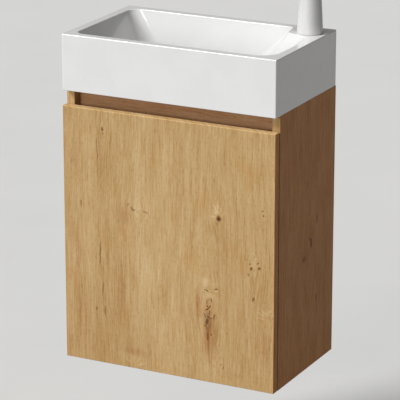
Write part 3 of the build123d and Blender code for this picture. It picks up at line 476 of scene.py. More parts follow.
@dataclass(frozen=True)
class Glaze:
    """A glossy white glaze or coat, faintly wavy and uneven in its shine, with painted shade in a hollow and painted
    light on the rim above it.
    """

    name: str
    colour: Colour
    roughness: float
    wave_width: float
    wave_height: float
    coat: float = 0.0
    # The box inside which shade is painted, and above whose top light is painted
    hollow: tuple[Point, Point] | None = None
    hollow_soft: float = 2.0
    # How far painted shade greys the hollow, and how far painted light pales the rim
    hollow_painted_shade: float = 0.925
    rim_painted_light: float = 1.13
    cloud_share: float = 0.965
    speck_share: float = 0.8

    def paint_hollow_shade_and_rim_light(self, shader: Shader, colour: Value, place: tuple[Value, Value, Value]) -> Value:
        """Paints shade into the colour inside the hollow and paints light on it above the hollow's top.

        Args:
            shader: The material's shader.
            colour: The glaze's colour.
            place: The point being shaded, in mm.

        Returns:
            The colour with its painted shade and painted light.
        """
        inside = 1.0
        for here, low, high in zip(place, *self.hollow):
            middle, half = (low + high) / 2.0, (high - low) / 2.0
            inside = shader.fade((here - middle).size(), half, half - self.hollow_soft) * inside
        # Painted shade: the glaze is greyer inside the bowl's hollow
        colour = shader.tint(inside, colour, (self.hollow_painted_shade,) * 3)
        # Painted light: the glaze is paler on the rim's top
        top = self.hollow[1][2]
        return shader.tint(shader.fade(place[2], top - 0.6, top + 0.1), colour, (self.rim_painted_light,) * 3)

    def build(self) -> bpy.types.Material:
        """The finished material."""
        shader = Shader(self.name)
        place = shader.place()
        where = shader.join(*place)
        wave = shader.noise(where, 1.0, 0.4, 1.0 / self.wave_width)
        cloud = shader.noise(where, 3.0, 0.5, 0.02)
        specks = shader.fade(shader.noise(where, 1.0, 0.5, 0.9), 0.70, 0.78)
        greyer = tuple(self.cloud_share * c for c in self.colour)
        colour = shader.blend(shader.fade(cloud, 0.3, 0.7), self.colour, greyer)
        colour = shader.blend(specks * 0.25, colour, tuple(self.speck_share * c for c in self.colour))
        if self.hollow is not None:
            colour = self.paint_hollow_shade_and_rim_light(shader, colour, place)
        shader.raise_by(wave, self.wave_height)
        return shader.finish(Base_Color=colour, Roughness=self.roughness + (cloud - 0.5) * 0.08,
                             Coat_Weight=self.coat, Coat_Roughness=0.04)


@dataclass(frozen=True)
class Metal:
    """A bare or plated metal, with fine scratches, smudges and, where it was turned, rings round z."""

    name: str
    colour: Colour
    roughness: float
    scratches: float = 0.3
    smudge: float = 0.08
    rings: float = 0.0
    ring_pitch: float = 0.6
    scratch_length: float = 9.0
    scratch_width: float = 0.35
    dull_share: float = 0.86

    def build(self) -> bpy.types.Material:
        """The finished material."""
        shader = Shader(self.name)
        x, y, z = shader.place()
        where = shader.join(x, y, z)
        scratch = shader.noise(shader.join(
            x / self.scratch_length, y / self.scratch_length, z / self.scratch_width), 2.0, 0.6)
        smudge = shader.noise(where, 3.0, 0.55, 0.06)
        dull = tuple(self.dull_share * c for c in self.colour)
        colour = shader.blend(shader.fade(smudge, 0.35, 0.7, 0.0, 0.6), self.colour, dull)
        colour = shader.blend(shader.fade(scratch, 0.55, 0.75, 0.0, self.scratches), colour, dull)
        turned = (z * (2.0 * math.pi / self.ring_pitch)).sine() * self.rings
        shader.raise_by(scratch * self.scratches + turned, 0.02, 0.5)
        rough = self.roughness + (smudge - 0.5) * (2.0 * self.smudge) + (scratch - 0.5) * (0.3 * self.scratches)
        return shader.finish(Base_Color=colour, Metallic=1.0, Roughness=rough)


@dataclass(frozen=True)
class Moulding:
    """A moulded plastic or rubber, with a fine spark texture and slight clouds of dust or flow."""

    name: str
    colour: Colour
    roughness: float
    texture: float = 0.03
    specular: float = 0.5
    see_through: float = 0.0

    def build(self) -> bpy.types.Material:
        """The finished material."""
        shader = Shader(self.name)
        where = shader.join(*shader.place())
        spark = shader.noise(where, 2.0, 0.5, 2.2)
        cloud = shader.noise(where, 2.0, 0.5, 0.05)
        dusty = tuple(min(1.0, 0.9 * c + 0.02) for c in self.colour)
        colour = shader.blend(shader.fade(cloud, 0.35, 0.7, 0.0, 0.7), self.colour, dusty)
        shader.raise_by(spark, self.texture)
        shader.surface.inputs["Specular IOR Level"].default_value = self.specular
        shader.surface.inputs["Transmission Weight"].default_value = self.see_through
        return shader.finish(Base_Color=colour, Roughness=self.roughness + (spark - 0.5) * 0.12)


@dataclass(frozen=True)
class Beech:
    """Plain beech of the dowels: pale, with short dark flecks along x."""

    name: str
    dark: Colour = (0.50, 0.34, 0.19)
    pale: Colour = (0.66, 0.48, 0.30)
    fleck: Colour = (0.36, 0.20, 0.10)

    def build(self) -> bpy.types.Material:
        """The finished material."""
        shader = Shader(self.name)
        x, y, z = shader.place()
        tone = shader.noise(shader.join(x / 20.0, y / 1.5, z / 1.5), 3.0)
        flecks = shader.fade(shader.noise(shader.join(x / 2.5, y / 0.5, z / 0.5), 1.0), 0.58, 0.72)
        colour = shader.ramp(shader.fade(tone, 0.3, 0.7), [(0.0, self.dark), (1.0, self.pale)])
        colour = shader.blend(flecks * 0.5, colour, self.fleck)
        shader.raise_by(tone - flecks * 0.5, 0.05)
        return shader.finish(Base_Color=colour, Roughness=0.62 + flecks * 0.1)


# Meshes


def grid_mesh(name: str, points: np.ndarray, close_rows: bool, close_columns: bool,
              cap_start: bool = False, cap_end: bool = False) -> bpy.types.Object:
    """A smooth mesh over a grid of points, rows by columns by 3, in mm.

    Args:
        name: The piece's name.
        points: The grid. Faces point to the side from which rows run up and columns run to the right.
        close_rows: Whether the last row joins the first.
        close_columns: Whether the last column joins the first.
        cap_start: Whether one face closes the first row.
        cap_end: Whether one face closes the last row.

    Returns:
        The new object, at the origin.
    """
    rows, columns = points.shape[:2]
    index = np.arange(rows * columns).reshape(rows, columns)
    i, j = np.arange(rows if close_rows else rows - 1), np.arange(columns if close_columns else columns - 1)
    i, j = (a.ravel() for a in np.meshgrid(i, j, indexing="ij"))
    up, right = (i + 1) % rows, (j + 1) % columns
    faces = np.stack([index[i, j], index[i, right], index[up, right], index[up, j]], axis=1).tolist()
    if cap_start:
        faces.append(index[0][::-1].tolist())
    if cap_end:
        faces.append(index[-1].tolist())
    mesh = bpy.data.meshes.new(name)
    mesh.from_pydata((points.reshape(-1, 3) * MM).tolist(), [], faces)
    mesh.validate()
    mesh.polygons.foreach_set("use_smooth", np.ones(len(mesh.polygons), bool))
    made = bpy.data.objects.new(name, mesh)
    bpy.context.scene.collection.objects.link(made)
    return made


def turned(name: str, profile: np.ndarray, centre: tuple[float, float], steps: int = 72) -> bpy.types.Object:
    """A closed shape turned round an upright axis.

    A point at angle t is the centre plus the radius times (cos t, sin t), at the profile's height.

    Args:
        name: The piece's name.
        profile: Points of radius and height, from the bottom up outside, which a cap closes at each end.
        centre: The axis's x and y.
        steps: Points round the axis.

    Returns:
        The new object.
    """
    angle = np.linspace(0.0, 2.0 * math.pi, steps, endpoint=False)
    radius, height = profile[:, :1], profile[:, 1:]
    points = np.stack(np.broadcast_arrays(
        centre[0] + radius * np.cos(angle), centre[1] + radius * np.sin(angle), height), axis=-1)
    return grid_mesh(name, points, False, True, True, True)


def bowed(start: tuple[float, float], end: tuple[float, float], corner: tuple[float, float],
          steps: int = 7) -> np.ndarray:
    """A quarter turn from start to end, bowed towards a corner: start + (1 - cos) and sin parts of two legs."""
    t = np.linspace(0.0, math.pi / 2.0, steps)[:, None]
    a, b, c = (np.array(p, float) for p in (start, end, corner))
    return a + (c - a) * np.sin(t) + (b - c) * (1.0 - np.cos(t))


class Join(Enum):
    """What a Boolean does with the other object."""

    ADD = "UNION"
    TAKE = "DIFFERENCE"


def join_up(piece: bpy.types.Object, others: list[bpy.types.Object], how: Join) -> None:
    """Joins other objects to a piece, or cuts them out of it, and removes them.

    Args:
        piece: The object that changes.
        others: Closed meshes.
        how: Whether they are joined on or cut out.
    """
    for other in others:
        change = piece.modifiers.new("join", "BOOLEAN")
        change.operation = how.value
        change.solver = "EXACT"
        change.object = other
        apply_modifiers(piece)
        bpy.data.objects.remove(other)


def apply_modifiers(piece: bpy.types.Object) -> None:
    """Bakes a piece's modifiers into its mesh."""
    graph = bpy.context.evaluated_depsgraph_get()
    mesh = bpy.data.meshes.new_from_object(piece.evaluated_get(graph))
    piece.modifiers.clear()
    piece.data = mesh


def crease(piece: bpy.types.Object, degrees: float) -> None:
    """Shades a piece smooth, but for edges sharper than an angle."""
    piece.data.polygons.foreach_set("use_smooth", np.ones(len(piece.data.polygons), bool))
    piece.data.set_sharp_from_angle(angle=math.radians(degrees))


def dress(piece: bpy.types.Object, material: bpy.types.Material) -> None:
    """Gives every face of a piece one material."""
    piece.data.materials.clear()
    piece.data.materials.append(material)
    piece.data.polygons.foreach_set("material_index", np.zeros(len(piece.data.polygons), np.int32))


def settle(piece: bpy.types.Object, body: str, nodes: tuple[str, ...],
           material: bpy.types.Material) -> None:
    """Dresses a new piece and ties it to the frame.

    Args:
        piece: The object.
        body: The CAD body that it rides on.
        nodes: The CAD nodes that it stands for.
        material: Its finish.
    """
    dress(piece, material)
    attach(piece, body)
    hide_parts(*nodes)
    LOG.info("%s stands for %s on %s", piece.name, ", ".join(nodes), body)


# Cabinet


DOOR_MARKS = (
    # Small knot at the upper left, with a pale foot and a long dark check beside it
    Mark(-139, -6, 3.2, 4.0, KNOT), Mark(-139, -15, 1.6, 2.2, KNOT, 0.8),
    Mark(-140, -20, 9, 9, SHADE, 0.5),
    Mark(-151, -45, 1.2, 24, CRACK, 0.55, 3.0), Mark(-149, -92, 1.4, 26, SHADE, 0.9, 1.0),
    Mark(-187, -160, 1.6, 8, KNOT, 0.75),
    # Pair of eyes in the middle, with a reddish cloud at the left
    Mark(-74, -156, 5.5, 2.6, KNOT, 0.85, -32), Mark(-48, -159, 6.0, 2.2, KNOT, 0.7, -12),
    Mark(-84, -148, 4.0, 2.0, KNOT, 0.45, 40), Mark(-62, -154, 8, 4, PALE, 0.45),
    Mark(-92, -170, 17, 20, RED, 0.42), Mark(-68, -110, 16, 26, PALE, 0.2),
    # Long checks and dashes of the left third
    Mark(-146, -256, 1.5, 24, CRACK, 0.6, -2.0), Mark(-141, -328, 1.4, 15, CRACK, 0.5, -4.0),
    Mark(-155, -370, 2.4, 5.0, KNOT, 0.6), Mark(-137, -372, 2.2, 11, KNOT, 0.65),
    Mark(-194, -262, 5.0, 46, RED, 0.5, 2.0), Mark(-193, -370, 4.2, 40, RED, 0.55),
    # Brown cloud low in the middle with pale flecks under it
    Mark(-86, -432, 22, 24, SHADE, 0.75), Mark(-70, -446, 24, 8, RED, 0.5),
    Mark(-100, -330, 11, 60, RED, 0.35), Mark(-72, -300, 9, 26, SHADE, 0.55),
    # Round knot at the right under its fan, and the small eyes beside the right edge
    Mark(108.8, -148.5, 5.0, 6.0, KNOT, 1.15), Mark(108.6, -149, 2.6, 3.0, CRACK, 0.8),
    Mark(108.5, -133, 12, 12, PALE, 0.3), Mark(114.5, -124.5, 3.2, 1.2, SHADE, 1.0, -10),
    Mark(96, -170, 12, 14, SHADE, 0.6), Mark(112, -182, 15, 16, SHADE, 0.4),
    Mark(199.3, -120.7, 1.7, 1.9, KNOT, 0.9), Mark(201.2, -130, 2.4, 1.9, KNOT, 1.0),
    Mark(177.1, -236.7, 2.7, 3.8, KNOT, 1.2, -10), Mark(193.4, -234, 3.0, 2.8, KNOT, 1.1),
    Mark(190.4, -224.7, 3.6, 1.4, KNOT, 0.9, 24), Mark(174.6, -228, 2.2, 1.6, KNOT, 0.7),
    Mark(171, -250.5, 1.5, 2.6, KNOT, 0.8), Mark(165.5, -218, 1.6, 9, SHADE, 1.0, 38),
    Mark(182, -297, 2.6, 4.6, KNOT, 0.95, -22),
    # Large split knot: pale cap between two checks, a dark eye and a crossed check under it
    Mark(88, -279, 22, 9, PALE, 0.45), Mark(104.6, -293, 2.7, 2.4, PALE, 1.0),
    Mark(82.8, -294.6, 5.6, 1.2, CRACK, 0.9, -22), Mark(103.6, -289.4, 4.2, 1.3, CRACK, 0.85, 24),
    Mark(93.6, -297.5, 6.0, 1.2, SHADE, 1.0), Mark(88, -306, 15, 8, PALE, 0.4),
    Mark(94.2, -314.6, 1.7, 1.8, CRACK, 1.0), Mark(93.4, -310.6, 1.6, 3.2, KNOT, 0.7),
    Mark(84.3, -317.5, 1.6, 5.0, KNOT, 0.6), Mark(90.4, -326.3, 1.2, 4.8, CRACK, 1.0, -30),
    Mark(84.6, -332.8, 4.8, 1.2, CRACK, 1.0, 36), Mark(84.8, -326.8, 1.2, 3.8, CRACK, 0.9, 29),
    # The messy rings, blob and dark tail below the crossed check
    Mark(89.6, -338.5, 1.3, 5.2, CRACK, 0.75), Mark(79.4, -345, 1.2, 5.4, CRACK, 0.7, 18),
    Mark(87.4, -348, 3.4, 1.4, CRACK, 0.75, -35), Mark(93.4, -349.6, 3.0, 1.1, CRACK, 0.65, 10),
    Mark(99.5, -346, 1.5, 6.0, CRACK, 0.8, -8), Mark(84.4, -357, 2.8, 6.0, CRACK, 0.8, -6),
    Mark(80.2, -366, 3.8, 1.5, CRACK, 0.65, -20), Mark(85.4, -372, 4.2, 5.6, KNOT, 0.6),
    Mark(86.4, -385, 2.6, 11, KNOT, 0.8), Mark(92.8, -381.6, 1.7, 3.2, KNOT, 0.65),
    Mark(87.6, -410, 2.4, 32, SHADE, 1.0),
    # Pink halo round it, brown body under it and the reddish strips on both sides
    Mark(90, -334, 12, 24, RED, 0.55), Mark(87, -358, 8, 22, KNOT, 0.45, 4),
    Mark(88, -385, 13, 44, RED, 1.0, -2), Mark(97.5, -366, 3.6, 24, RED, 0.9),
    Mark(65, -331, 4.8, 36, RED, 1.0), Mark(116, -330, 5, 38, PALE, 0.3),
    Mark(114, -440, 3.0, 1.4, KNOT, 0.7, 30), Mark(120, -444, 1.4, 5.0, KNOT, 0.5, -12),
    Mark(205, -392, 10, 34, RED, 0.45),
    Mark(214, -330, 9, 8, SHADE, 0.9), Mark(205, -300, 10, 4, SHADE, 0.6, 20),
    # Painted light and shade across the door: a darker foot at the left, a darker right third and a paler middle
    Mark(-150, -440, 95, 120, SHADE, 0.6), Mark(175, -340, 80, 220, SHADE, 0.32),
    Mark(-10, -230, 80, 230, PALE, 0.25),
) + rays(108.8, -146.5, 17, 1.7, (86, 48, 18, -52), 0.95) + rays(108, -140, 24, 1.6, (30, 4, -24), 0.9) \
  + rays(220, -334, 34, 2.0, (84, 66, 48), 0.7) \
  + rays(-72, -474, 26, 1.8, (60, 20, -30, -70), 0.8)

SIDE_MARKS = (
    Mark(-79, -184, 2.8, 10, KNOT, 0.9), Mark(-108, -219, 7, 4.0, KNOT, 0.9, -30),
    Mark(-104, -228, 4.5, 9.5, KNOT, 1.1, 10), Mark(-110, -200, 5, 20, SHADE, 0.8, -12),
    Mark(-136, -251, 8, 6, KNOT, 0.75, 24), Mark(-126, -246, 22, 18, SHADE, 0.6, -20),
    Mark(-78, -346, 2.8, 9, KNOT, 0.85), Mark(-76, -372, 2.0, 26, SHADE, 0.8),
    Mark(-36, -260, 14, 120, SHADE, 0.45), Mark(-190, -380, 22, 90, PALE, 0.2),
)


@dataclass
class Cabinet:
    """The oak carcass and door with their fittings, all kept from the frame and given finishes."""

    width: float = 450.0
    depth: float = 268.0
    # Painted shade: the front rail, set back under the basin, is darker and redder
    rail_painted_shade: Colour = (0.92, 0.755, 0.81)
    boards: dict[str, Oak] = field(default_factory=dict)

    def __post_init__(self) -> None:
        """Chooses each board's grain, seed and marks."""
        half = self.width / 2.0
        self.boards = {
            "door_panel": Oak("oak_door", 3.0, Grain.UPRIGHT, (0.0, -self.depth, 0.0), (
                Eddy(90, -318, 26, 2.2), Eddy(108, -149, 11), Eddy(-139, -6, 8), Eddy(-62, -156, 13, 1.6),
                Eddy(184, -230, 12), Eddy(222, -326, 16, 1.4), Eddy(200, -124, 7)), DOOR_MARKS, raw_edge=False,
                # Painted highlight along the door's top edge, painted shade on its right edge
                highlight_above=29.2, shade_beyond=half - 1.2),
            # Painted shade on the right side panel's outer face
            "right_side_panel": Oak("oak_right_side", 17.0, Grain.UPRIGHT, (half, 0.0, 0.0), (
                Eddy(-104, -226, 13), Eddy(-79, -184, 7), Eddy(-136, -251, 8)), SIDE_MARKS, shade_beyond=half - 0.3),
            "left_side_panel": Oak("oak_left_side", 29.0, Grain.UPRIGHT, (-half, 0.0, 0.0), (
                Eddy(-150, -90, 10), Eddy(-90, -330, 15)), (
                Mark(-150, -90, 4, 6, KNOT), Mark(-90, -330, 6, 9, KNOT, 1.0, 15),
                Mark(-92, -352, 8, 26, RED, 0.7), Mark(-40, -200, 1.4, 30, CRACK, 0.4))),
            "bottom_panel": Oak("oak_bottom", 41.0, Grain.LEVEL),
            # The front rail's tint is painted shade
            "front_rail": Oak("oak_front_rail", 53.0, Grain.LEVEL, tint=self.rail_painted_shade, raw_edge=False),
        }
        for node, seed in (("wall_rail", 61.0), ("lower_rear_rail", 71.0), ("shelf", 83.0)):
            self.boards[node] = Oak(f"oak_{node}", seed, Grain.LEVEL, raw_edge=False)

    def build(self) -> None:
        """Dresses every board and fitting."""
        for node, oak in self.boards.items():
            dress_node(node, oak.build())
        steel = Metal("nickel_plated_steel", (0.60, 0.59, 0.57), roughness=0.30).build()
        zinc = Metal("zinc_casting", (0.50, 0.50, 0.51), roughness=0.48, scratches=0.15, smudge=0.12).build()
        for level in ("upper", "lower"):
            for part in ("hinge_cup", "hinge_pin", "hinge_arm", "hinge_plate"):
                dress_node(f"{level}_{part}", steel)
        for node in ("hinge_cup_screws", "hinge_plate_screws", "hinge_arm_screws", "shelf_pins", "cam_bolts"):
            dress_node(node, steel)
        dress_node("cam_locks", zinc)
        dress_node("dowels", Beech("dowel_beech").build())
        clear = Moulding("clear_buffer", (0.80, 0.80, 0.78), roughness=0.25, see_through=0.6).build()
        dress_node("door_bumpers", clear)


def dress_node(node: str, material: bpy.types.Material) -> None:
    """Gives a CAD node's object a finish and leaves its mesh alone."""
    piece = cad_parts[node]
    if not piece.material_slots:
        piece.data.materials.append(material)
    for place in piece.material_slots:
        place.material = material
    LOG.info("%s keeps its solid with finish %s", node, material.name)


# Basin


@dataclass
class Basin:
    """The box basin as one closed surface: skirt, rim, bowl, drain seat and hollow underside."""

    half_width: float = 225.0
    depth: float = 268.0
    bottom: float = 60.0
    rim: float = 170.0
    skirt: float = 10.0
    deck: float = 12.0
    side_middle: float = 150.0
    back_corners: tuple[float, float] = (186.0, 150.0)
    wall: float = 9.0
    bowl_depth: float = 86.0
    spread: float = 1.1
    hug: float = 1.6
    drain: tuple[float, float] = (-60.0, -136.0)
    drain_hole: float = 22.0
    seat_radius: float = 32.5
    seat_depth: float = 3.0
    inner_round: float = 2.0
    top_round: float = 2.0
    edge_round: float = 2.5
    corner_steps: int = 18
    side_steps: int = 6
    turn_steps: int = 7
    bowl_rings: int = 40
    shell_rings: int = 22
    shell_samples: int = 90
    shell_round: float = 2.5
    floor_shares: tuple[float, ...] = (0.03, 0.2, 0.45, 0.7, 0.9)
    rim_shares: tuple[float, ...] = (0.0, 0.3, 0.7, 1.0)
    foot_insets: tuple[float, ...] = (1.5, 8.4, 9.0, 9.7)
    foot_rises: tuple[float, ...] = (0.0, 0.0, 0.1, 0.5, 1.2)
    foot_radii: tuple[float, ...] = (2.0, 11.0, 11.5, 12.0, 12.0)
    opening: np.ndarray = field(default_factory=lambda: np.array([
        (-207, 18.5, 18), (209, 18.5, 38), (209, 146, 30), (200, 184, 22),
        (152, 204, 12), (145, 248, 8), (-207, 248, 22)], float))
    floor: np.ndarray = field(default_factory=lambda: np.array([
        (-152, 42.5, 54), (62, 42.5, 44), (76, 118, 20), (74, 146, 16),
        (68, 166, 16), (60, 222, 34), (-152, 222, 56)], float))

    def loop(self, corners: np.ndarray) -> np.ndarray:
        """Rounded outlines through seven corners.

        Each corner is a conic from one tangent point to the other with the corner as its control point: the
        weights are 1, the cosine of half the turn, and 1, which makes it a true arc. A side is the straight
        line to the next corner's tangent point, with points close to both ends to hold the shading flat.

        Args:
            corners: Outlines by seven by (x, y from the front, radius).

        Returns:
            Outlines by points by (x, y), anticlockwise from above.
        """
        place, radius = corners[..., :2] - (0.0, self.depth), corners[..., 2:]
        to_next = np.roll(place, -1, axis=-2) - place
        length = np.linalg.norm(to_next, axis=-1, keepdims=True)
        ahead = to_next / length
        behind = np.roll(ahead, 1, axis=-2)
        half_turn = 0.5 * np.arccos(np.clip((ahead * behind).sum(-1, keepdims=True), -1.0, 1.0))
        tangent = np.maximum(radius * np.tan(half_turn), 0.5)
        enter, leave = place - behind * tangent, place + ahead * tangent
        t = np.linspace(0.0, 1.0, self.corner_steps)[:, None]
        weight = np.cos(half_turn)[..., None, :]
        bend = 2.0 * t * (1.0 - t) * weight
        arc = ((1.0 - t) ** 2 * enter[..., None, :] + bend * place[..., None, :] + t ** 2 * leave[..., None, :])
        arc = arc / ((1.0 - t) ** 2 + bend + t ** 2)
        s = (0.5 - 0.496 * np.cos(np.linspace(0.0, math.pi, self.side_steps)))[:, None]
        side = leave[..., None, :] * (1.0 - s) + np.roll(enter, -1, axis=-2)[..., None, :] * s
        around = np.concatenate([arc, side], axis=-2)
        return around.reshape(*around.shape[:-3], -1, 2)

    def bowl(self, inward: np.ndarray) -> np.ndarray:
        """Outlines of the bowl at shares of the way from its opening, 0, to its floor, 1."""
        share = np.asarray(inward, float)[:, None, None]
        return self.loop(self.opening + (self.floor - self.opening) * share)

    def box(self, inset: np.ndarray, radius: np.ndarray) -> np.ndarray:
        """Outlines of the skirt, set in from the outside, with seven corners that face those of the bowl."""
        x, back, (right, left) = self.half_width, self.depth, self.back_corners
        inset, radius = np.asarray(inset, float), np.asarray(radius, float)
        signs = np.array([(-1, 1), (1, 1), (1, 0), (1, -1), (0, -1), (0, -1), (-1, -1)], float)
        places = np.array([(-x, 0), (x, 0), (x, self.side_middle), (x, back), (right, back), (left, back),
                           (-x, back)], float)
        inwards = signs * (-1.0, 1.0)
        rounds = np.array([1, 1, 0, 1, 0, 0, 1], float)
        moved = places + inwards * inset[:, None, None]
        corner_radius = np.broadcast_to(radius[:, None] * rounds, (len(inset), 7))
        return self.loop(np.concatenate([moved, corner_radius[..., None]], axis=-1))

    @staticmethod
    def grown(outline: np.ndarray, by: np.ndarray | float) -> np.ndarray:
        """An outline moved outwards along its own normals, which are its smoothed tangents turned right."""
        ahead = np.roll(outline, -1, axis=-2) - np.roll(outline, 1, axis=-2)
        ahead /= np.linalg.norm(ahead, axis=-1, keepdims=True)
        outward = np.stack([ahead[..., 1], -ahead[..., 0]], axis=-1)
        return outline + outward * by

    def fall(self, share: np.ndarray) -> np.ndarray:
        """The bowl's height at a share s of the way in: the rim less the depth times 1 - (1 - s) to a power."""
        return self.rim - self.bowl_depth * (1.0 - (1.0 - share) ** self.hug)

    @staticmethod
    def stack(outline: np.ndarray, height: np.ndarray | float) -> np.ndarray:
        """Outlines by points by (x, y, z), from outlines and a height for each or for all."""
        height = np.broadcast_to(np.reshape(height, (-1, 1)) if np.ndim(height) < 2 else height, outline.shape[:2])
        return np.concatenate([outline, height[..., None]], axis=-1)

    def drain_rings(self, like: np.ndarray) -> np.ndarray:
        """Circles round the drain, each point at the angle of the floor outline's point.

        Args:
            like: The floor's outline, points by 2.

        Returns:
            The hole's wall, the seat and its softened edge, as rings from below to the bowl's floor.
        """
        away = like - self.drain
        unit = away / np.linalg.norm(away, axis=-1, keepdims=True)
        floor = self.rim - self.bowl_depth
        seat = floor - self.seat_depth
        edge = bowed((self.seat_radius, floor - 0.8), (self.seat_radius + 0.8, floor), (self.seat_radius, floor), 5)
        profile = np.concatenate([
            [(self.drain_hole, floor - self.wall), (self.drain_hole, seat - 0.6)],
            bowed((self.drain_hole, seat - 0.5), (self.drain_hole + 0.5, seat), (self.drain_hole, seat), 4),
            [(self.seat_radius - 0.3, seat), (self.seat_radius, seat + 0.2)], edge])
        outline = self.drain + unit[None] * profile[:, None, :1]
        return self.stack(outline, profile[:, 1])

    def underside(self, skirt: np.ndarray) -> np.ndarray:
        """The hollow underside, from the skirt's inner face to the drain.

        The bowl's outer shell is its inner outline grown by the wall. Where that would leave the skirt, the
        shell starts further down: each point round the outline has its own first share of the way in.

        Args:
            skirt: The inner face's outline, points by 2.

        Returns:
            Rings from the top of the inner skirt to the underside of the floor.
        """
        soft = self.shell_round
        limit = np.array([self.half_width, self.depth / 2.0]) - self.skirt - soft - 0.7
        shares = np.linspace(0.0, 1.0, self.shell_samples)
        shells = self.grown(self.bowl(shares * self.spread), self.wall)
        room = (limit - np.abs(shells + (0.0, self.depth / 2.0))).min(-1)
        column = np.arange(shells.shape[1])
        after = np.argmax(room >= 0.0, axis=0)
        before = np.maximum(after - 1, 0)
        gain = np.maximum(room[after, column] - room[before, column], 1e-9)
        first = shares[before] + (shares[after] - shares[before]) * np.clip(-room[before, column] / gain, 0.0, 1.0)
        steps = np.linspace(0.0, 1.0, self.shell_rings)[:, None]
        share = first + (1.0 - first) * steps
        low = np.clip(share * (len(shares) - 1), 0, len(shares) - 1.001)
        row, part = low.astype(int), (low % 1.0)[..., None]
        outline = shells[row, column] * (1.0 - part) + shells[row + 1, column] * part
        height = np.minimum(self.rim - self.deck, self.fall(share) - self.wall * share ** 0.5)
        top = height[:1]
        lip = np.stack([skirt, skirt])
        return np.concatenate([
            self.stack(lip, np.concatenate([top - soft - 3.0, top - soft])),
            self.stack(self.grown(skirt, -0.8)[None], top - 0.8),
            self.stack(self.grown(skirt, -soft)[None], top),
            self.stack(outline, height)])

    def surface(self) -> np.ndarray:
        """The whole closed surface, rings from the drain up the bowl, over the rim and back underneath."""
        low = self.bowl(np.array([self.spread]))[0]
        seat = self.drain_rings(low)
        floor = self.rim - self.bowl_depth
        t = np.array(self.floor_shares)[:, None, None]
        flat = self.stack(seat[-1, :, :2] * (1.0 - t) + low * t, floor)
        share = 1.0 - np.linspace(0.0, 1.0, self.bowl_rings) ** 1.15
        share = share[self.fall(share) < self.rim - self.inner_round - 0.2]
        bowl = self.stack(self.bowl(share * self.spread), self.fall(share))
        turn = np.linspace(0.0, math.pi / 2.0, self.turn_steps)
        top_share = np.interp(self.inner_round / self.bowl_depth, [0.0, 0.04], [0.0, 0.04 / self.hug])
        brim = self.bowl(np.array([top_share * self.spread]))
        lip = self.stack(self.grown(brim, (self.inner_round * (1.0 - np.cos(turn)))[:, None, None]),
                         self.rim - self.inner_round * (1.0 - np.sin(turn)))
        edge_in = self.box([self.top_round + 0.5], [0.6])
        near = self.grown(brim, self.inner_round + 0.5)
        s = np.array(self.rim_shares)[:, None, None]
        top = self.stack(near * (1.0 - s) + edge_in * s, self.rim)
        inset = self.top_round * (1.0 - np.sin(turn))
        over = self.stack(self.box(inset, self.edge_round - inset), self.rim - self.top_round * (1.0 - np.cos(turn)))
        down = self.stack(self.box([0.0] * 4, [self.edge_round] * 4),
                          np.array([self.rim - self.top_round - 0.5, 130.0, 90.0, self.bottom + 1.5]))
        foot = self.top_round * 0.5 * (1.0 - np.cos(turn))
        under = self.stack(self.box(foot, self.edge_round - foot), self.bottom + 1.0 - np.sin(turn))
        turn_in = self.stack(self.box([*self.foot_insets, self.skirt], self.foot_radii),
                             self.bottom + np.array(self.foot_rises))
        below = self.underside(turn_in[-1, :, :2])
        return np.concatenate([seat, flat, bowl, lip, top, over, down, under, turn_in, below])

    def build(self) -> None:
        """Makes the basin and glazes it."""
        piece = grid_mesh("box_basin", self.surface()[:, ::-1], True, True)
        crease(piece, 40.0)
        x, y = self.half_width - 5.0, self.depth - 6.0
        # Painted shade greys the glaze inside this box, and painted light pales the rim's top above it
        hollow = ((-x, -y, 0.0), (x, -6.0, self.rim - 0.2))
        glaze = Glaze("basin_glaze", (0.80, 0.80, 0.794), roughness=0.16, wave_width=60.0, wave_height=0.05,
                      coat=0.6, hollow=hollow).build()
        settle(piece, "cabinet", ("basin",), glaze)


# Waste and trap


@dataclass
class Waste:
    """The drain fittings and bottle trap, kept from the frame and given finishes."""

    chromed: tuple[str, ...] = ("waste_body", "waste_plug")
    moulded: tuple[str, ...] = ("trap_coupling_nut", "trap_inlet_pipe", "trap_body", "trap_body_nut", "trap_cup",
                                "trap_outlet_nut", "trap_outlet_pipe", "waste_locknut")
    soft: tuple[str, ...] = ("waste_gasket", "trap_seals")

    def build(self) -> None:
        """Dresses every fitting."""
        finishes = (
            (self.chromed, Metal("waste_chrome", (0.78, 0.79, 0.80), roughness=0.09, scratches=0.12, smudge=0.04)),
            (self.moulded, Moulding("trap_plastic", (0.82, 0.82, 0.80), roughness=0.38)),
            (self.soft, Moulding("black_rubber", (0.025, 0.025, 0.027), roughness=0.62, texture=0.05,
                                 specular=0.35)),
        )
        for nodes, finish in finishes:
            material = finish.build()
            for node in nodes:
                dress_node(node, material)


# Tap


